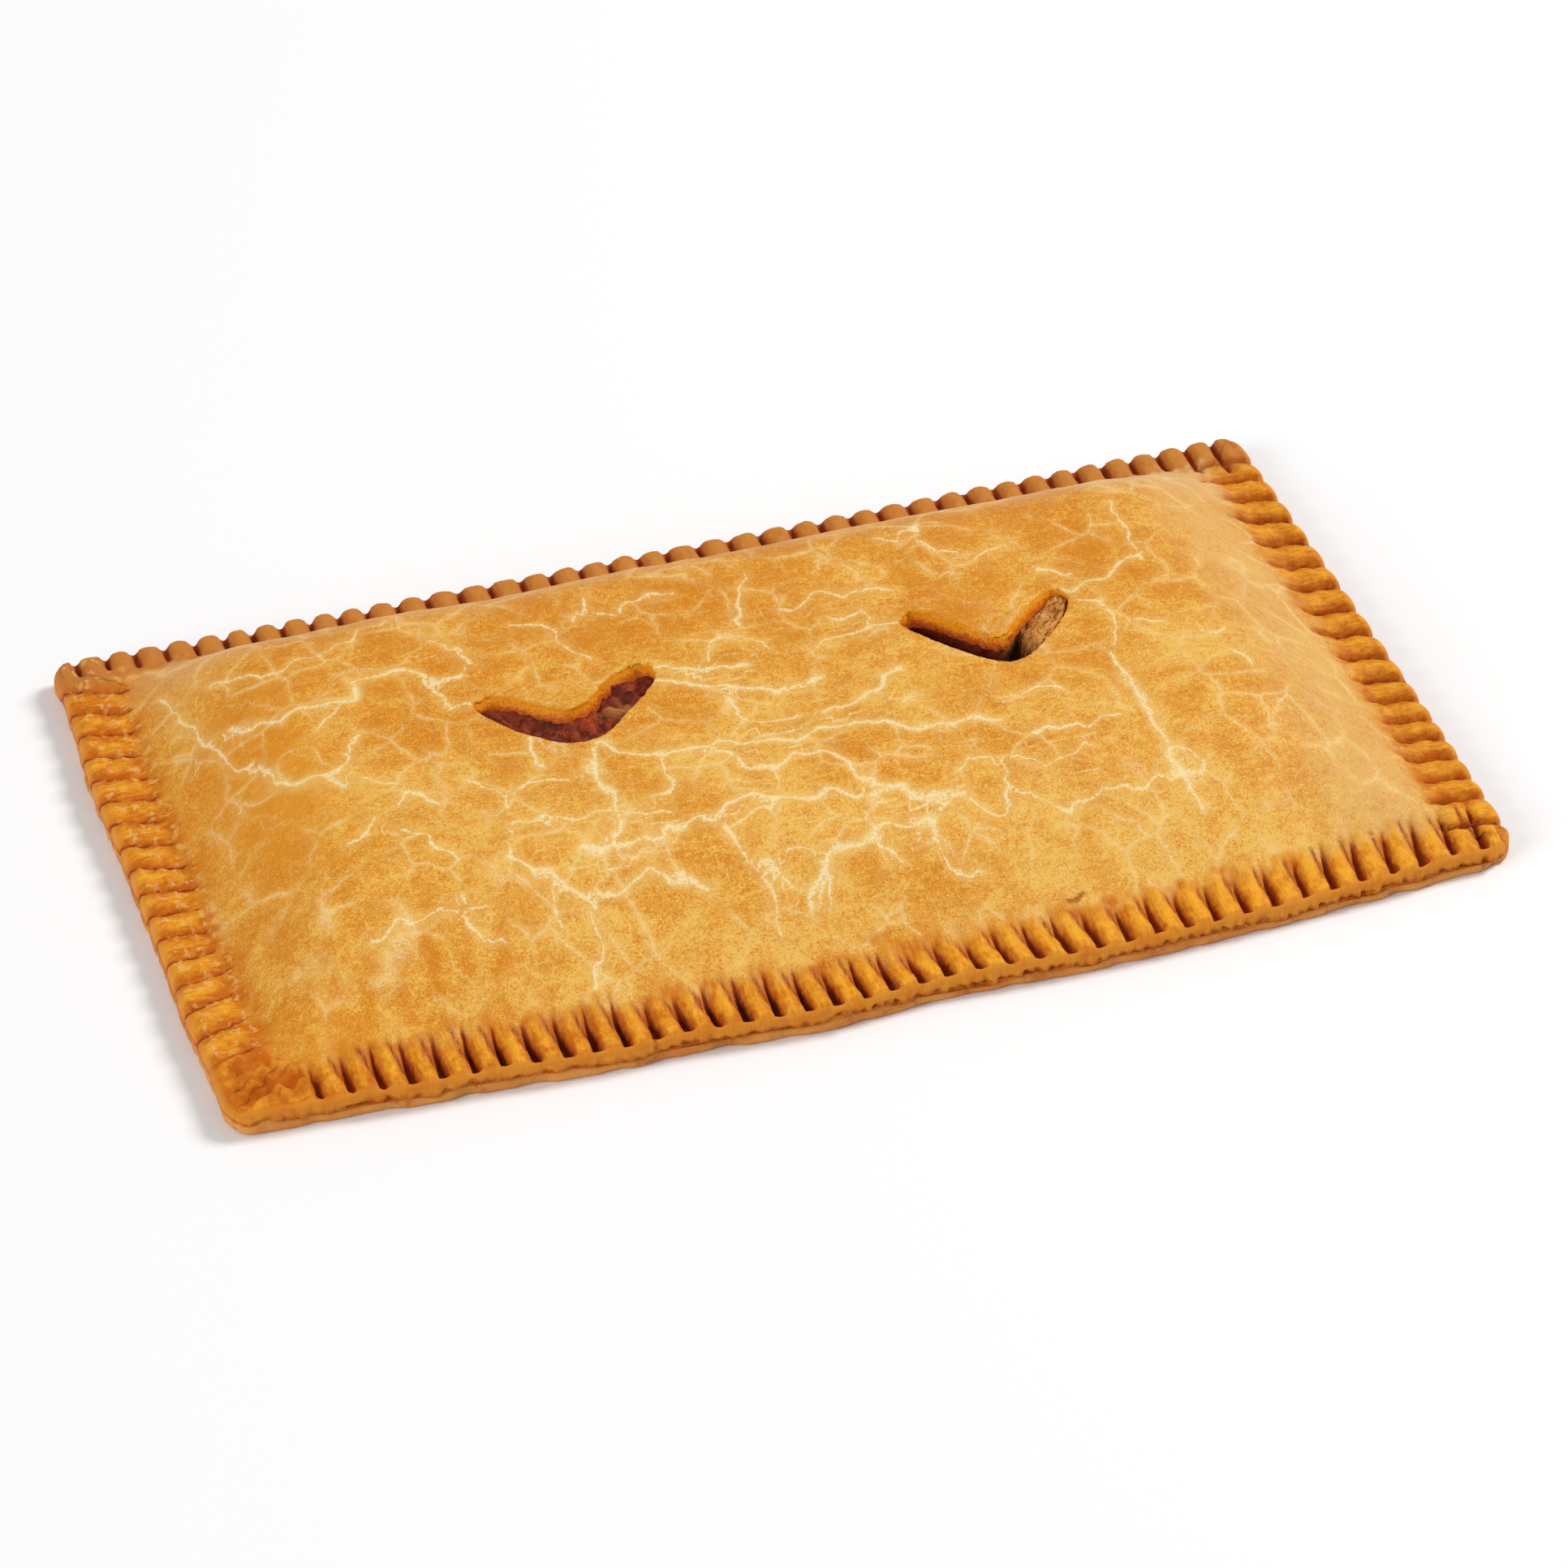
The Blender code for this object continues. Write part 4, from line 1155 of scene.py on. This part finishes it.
    # painted sheen: the back rim paler and greyer
    rimColour = rimColour.paint(lidPaint["backRimSheen"], backSide * 0.8)
    lipShare = lipBand * (0.9 - backSide * 0.6) * (mottle.from_(0.3, 0.6) * 0.5 + 0.4)
    rimColour = rimColour.paint(lidPaint["lip"], lipShare)
    colour = colour.paint(rimColour, rim)
    flaky = (flakes * 0.8 + (fine - 0.5) * 2.2 + (streak - 0.5) * 1.2).from_(0.5, 0.8) * flakes.from_(0.0, 0.3)
    colour = colour.paint(lidPaint["flake"], flaky * 0.6)
    # painted shade along the fold line of each front ridge
    colour = colour.paint(lidPaint["foldAndShade"], (foldAndShade * fine.from_(0.3, 0.5) * 1.1).clamped())
    ragged = (streak - 0.5) * 1.2 + (fine - 0.5) * 0.8
    pressed = 0
    for name, pitch in (("acrossX", lidPaint["pitchX"]), ("acrossY", lidPaint["pitchY"])):
        wall, burnAndShade, floor = furrow(base, name, pitch, ragged)
        # groove floors: browning with the painted shade that falls in them
        floorShade = burnAndShade.from_(0.45, 1.0).mixed(lidPaint["burntInShade"], lidPaint["charredInShade"])
        # painted shade on the shaded wall of each groove
        colour = colour.paint(lidPaint["wallShade"], wall.clamped() * 0.85)
        colour = colour.paint(floorShade, floor.clamped() * 0.95)
        pressed = pressed + floor
    # painted shade along the foot of the lid where it meets the bottom crust
    colour = colour.paint(lidPaint["seamShade"], seamShade * (fine.from_(0.35, 0.6) * 0.6 + 0.25))

    # cut edges of the vents, browner lower down and with painted shade deepest in, and the dark marks
    cut = cutDepth + (fine - 0.5) * 3 + (crumbs - 0.5) * 5
    onCut = cutDepth.from_(0.05, 0.5)
    colour = colour.paint(lidPaint["cutTop"], onCut * 0.95)
    middle = cut.maths("MAXIMUM", cut.from_(1.0, 3.0) * 0.92, crumbs.from_(0.5, 0.66) * 0.4)
    colour = colour.paint(lidPaint["cutMiddle"], middle * onCut)
    # painted shade deep down the vent walls
    colour = colour.paint(lidPaint["cutDeepShade"], cut.from_(2.8, 5.0) * onCut * 0.92)
    markAway = stepsOn(base, "markStep").move(wobble.times(0.5)).length()
    mark = 1 - (markAway + (crumbs - 0.5) * 1.5).from_(0.1, 0.9)
    colour = colour.paint(lidPaint["mark"], mark * 0.85)

    height = (fine - 0.5) * 0.16 + (pores - 0.5) * 0.07 + (mottle - 0.5) * 0.35
    height = height - core * 0.04 + halo * 0.06 + (crumbs - 0.5) * 0.05
    height = height + flakes * (fine - 0.4) * 0.3
    height = height + (streak - 0.5) * (pressed * 0.5 + 0.2) * rim
    roughness = lidPaint["roughness"] + (fine - 0.5) * 0.25 + rim * 0.04 + core * 0.2
    coat = (onTop * lidPaint["coat"]).clamped()
    finishMaterial(base, colour, roughness, height, coat,
                   {"Coat Roughness": lidPaint["coatRoughness"], "Specular IOR Level": lidPaint["specular"]})
    return material


basePaint = {"side": srgb(206, 126, 46), "pale": srgb(220, 148, 68), "brown": srgb(172, 92, 30),
             "spot": srgb(150, 84, 34), "roughness": 0.66, "specular": 0.3}


def paintBase():
    material, base, place = startMaterial("baked_base")
    broad = place.grain(16, 3, 0.6)
    fine = place.grain(1.1, 4, 0.7)
    flour = place.wander(3, 2).grain(5, 4, 0.7)
    colour = broad.from_(0.35, 0.65).mixed(basePaint["pale"], basePaint["side"])
    colour = colour.paint(basePaint["brown"], (flour + (fine - 0.5) * 0.5).from_(0.5, 0.72) * 0.7)
    low = 1 - place.parted()[2].from_(0.02, 0.5)
    colour = colour.paint(basePaint["spot"], low * flour.from_(0.42, 0.62) * 0.75)
    height = (fine - 0.5) * 0.2 + (flour - 0.5) * 0.3
    finishMaterial(base, colour, basePaint["roughness"] + (fine - 0.5) * 0.2, height, 0.0,
                   {"Specular IOR Level": basePaint["specular"]})
    return material


fillingPaint = {
    "deep": srgb(104, 32, 18), "sauce": srgb(152, 66, 34), "tuna": srgb(229, 165, 84),
    "strand": srgb(138, 78, 34), "pepper": srgb(200, 70, 14), "paintedShade": srgb(50, 14, 8),
    "roughness": 0.6, "coat": 0.02, "coatRoughness": 0.25, "specular": 0.15,
}


def paintFilling():
    material, base, place = startMaterial("tuna_filling")
    pale, shade, pepper, sunk = (numberOn(base, name) for name in ("pale", "shade", "pepper", "sunk"))
    chunk = place.wander(2, 1.5).grain(3.2, 4, 0.65)
    strands = place.turned(0.9).stretched(1, 0.25, 1).wander(1.5, 0.2).grain(1.1, 3, 0.6)
    fine = place.grain(0.7, 3, 0.65)
    colour = (chunk + (fine - 0.5) * 0.5).from_(0.36, 0.64).mixed(fillingPaint["deep"], fillingPaint["sauce"])
    colour = colour.paint(fillingPaint["pepper"], (pepper * (fine + chunk).from_(1.0, 1.15)).clamped() * 0.6)
    colour = colour.paint(fillingPaint["tuna"], (pale * (0.6 + strands * 0.8)).clamped())
    colour = colour.paint(fillingPaint["strand"], pale.clamped() * (1 - strands.from_(0.4, 0.52)) * 0.8)
    # painted shade in the vents: at the foot of their walls and where the filling lies deep
    colour = colour.paint(fillingPaint["paintedShade"], (shade * 0.9 + sunk * 0.9).clamped())
    height = (chunk - 0.5) * 0.9 + (strands - 0.5) * 0.5 + (fine - 0.5) * 0.15
    finishMaterial(base, colour, fillingPaint["roughness"] + (fine - 0.5) * 0.2, height, fillingPaint["coat"],
                   {"Coat Roughness": fillingPaint["coatRoughness"],
                    "Specular IOR Level": fillingPaint["specular"]})
    return material


lid = addLidSheet()
closeLid(lid)
print("lid closed", len(lid.data.vertices), len(lid.data.polygons))
cutVents(lid)
print("vents cut", len(lid.data.vertices), len(lid.data.polygons))
roundVentEdges(lid)
storeLidMasks(lid)
lid.data.materials.clear()
lid.data.materials.append(paintLid())
smoothShade(lid, 55)
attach(lid, "root")
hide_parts("top_crust")
print("lid done")

filling = addFilling()
filling.data.materials.append(paintFilling())
smoothShade(filling, 60)
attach(filling, "root")
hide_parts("filling")
print("filling done", len(filling.data.polygons))

bottomCrust = addBottomCrust()
bottomCrust.data.materials.append(paintBase())
smoothShade(bottomCrust, 50)
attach(bottomCrust, "root")
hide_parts("bottom_crust")
print("bottom crust done", len(bottomCrust.data.polygons))


studio = {
    "floorSize": 14.0, "floorColour": (0.98, 0.98, 0.98, 1), "sky": 0.4,
    "keyPlace": (2.34, 0.3, 2.18), "keySize": 1.2, "keyPower": 68,
    "fillPlace": (-2.72, -1.02, 1.34), "fillSize": 2.0, "fillPower": 48,
}


def addFloor():
    bpy.ops.object.select_all(action="DESELECT")
    bpy.ops.mesh.primitive_plane_add(size=studio["floorSize"], location=(0, 0, -0.0001))
    floor = bpy.context.object
    floor.name = "studio_floor"
    material = bpy.data.materials.new("studio_floor")
    material.use_nodes = True
    shader = material.node_tree.nodes["Principled BSDF"]
    shader.inputs["Base Color"].default_value = studio["floorColour"]
    shader.inputs["Roughness"].default_value = 1
    shader.inputs["Specular IOR Level"].default_value = 0
    floor.data.materials.append(material)


def addLamp(name, place, size, power):
    bpy.ops.object.light_add(type="AREA", location=place)
    lamp = bpy.context.object
    lamp.name = name
    lamp.data.shape = "DISK"
    lamp.data.size = size
    lamp.data.energy = power
    lamp.rotation_euler = (-Vector(place)).to_track_quat("-Z", "Y").to_euler()


def addSky():
    world = bpy.data.worlds.new("studio_sky")
    world.use_nodes = True
    world.node_tree.nodes["Background"].inputs[0].default_value = (1, 1, 1, 1)
    world.node_tree.nodes["Background"].inputs[1].default_value = studio["sky"]
    bpy.context.scene.world = world


view = {"azimuth": -18.517, "elevation": 37.726, "distance": 1407.6, "slideRight": 2.959, "slideUp": -0.849,
        "middle": (-0.7, 0, 0), "lens": 139.64, "sensor": 36}


def addCamera():
    azimuth = math.radians(view["azimuth"])
    elevation = math.radians(view["elevation"])
    back = Vector((math.sin(azimuth) * math.cos(elevation), -math.cos(azimuth) * math.cos(elevation),
                   math.sin(elevation)))
    right = Vector((math.cos(azimuth), math.sin(azimuth), 0))
    up = back.cross(right)
    place = back * view["distance"] + right * view["slideRight"] + up * view["slideUp"]
    place += Vector(view["middle"])
    bpy.ops.object.camera_add(location=place * mm)
    camera = bpy.context.object
    camera.name = "camera"
    camera.rotation_euler = Matrix((right, up, back)).transposed().to_euler()
    camera.data.lens = view["lens"]
    camera.data.sensor_width = view["sensor"]
    camera.data.clip_start = 0.05
    camera.data.clip_end = 20
    bpy.context.scene.camera = camera


addFloor()
addLamp("key_light", studio["keyPlace"], studio["keySize"], studio["keyPower"])
addLamp("fill_light", studio["fillPlace"], studio["fillSize"], studio["fillPower"])
addSky()
addCamera()
bpy.context.scene.view_settings.view_transform = "Standard"
print("studio done")
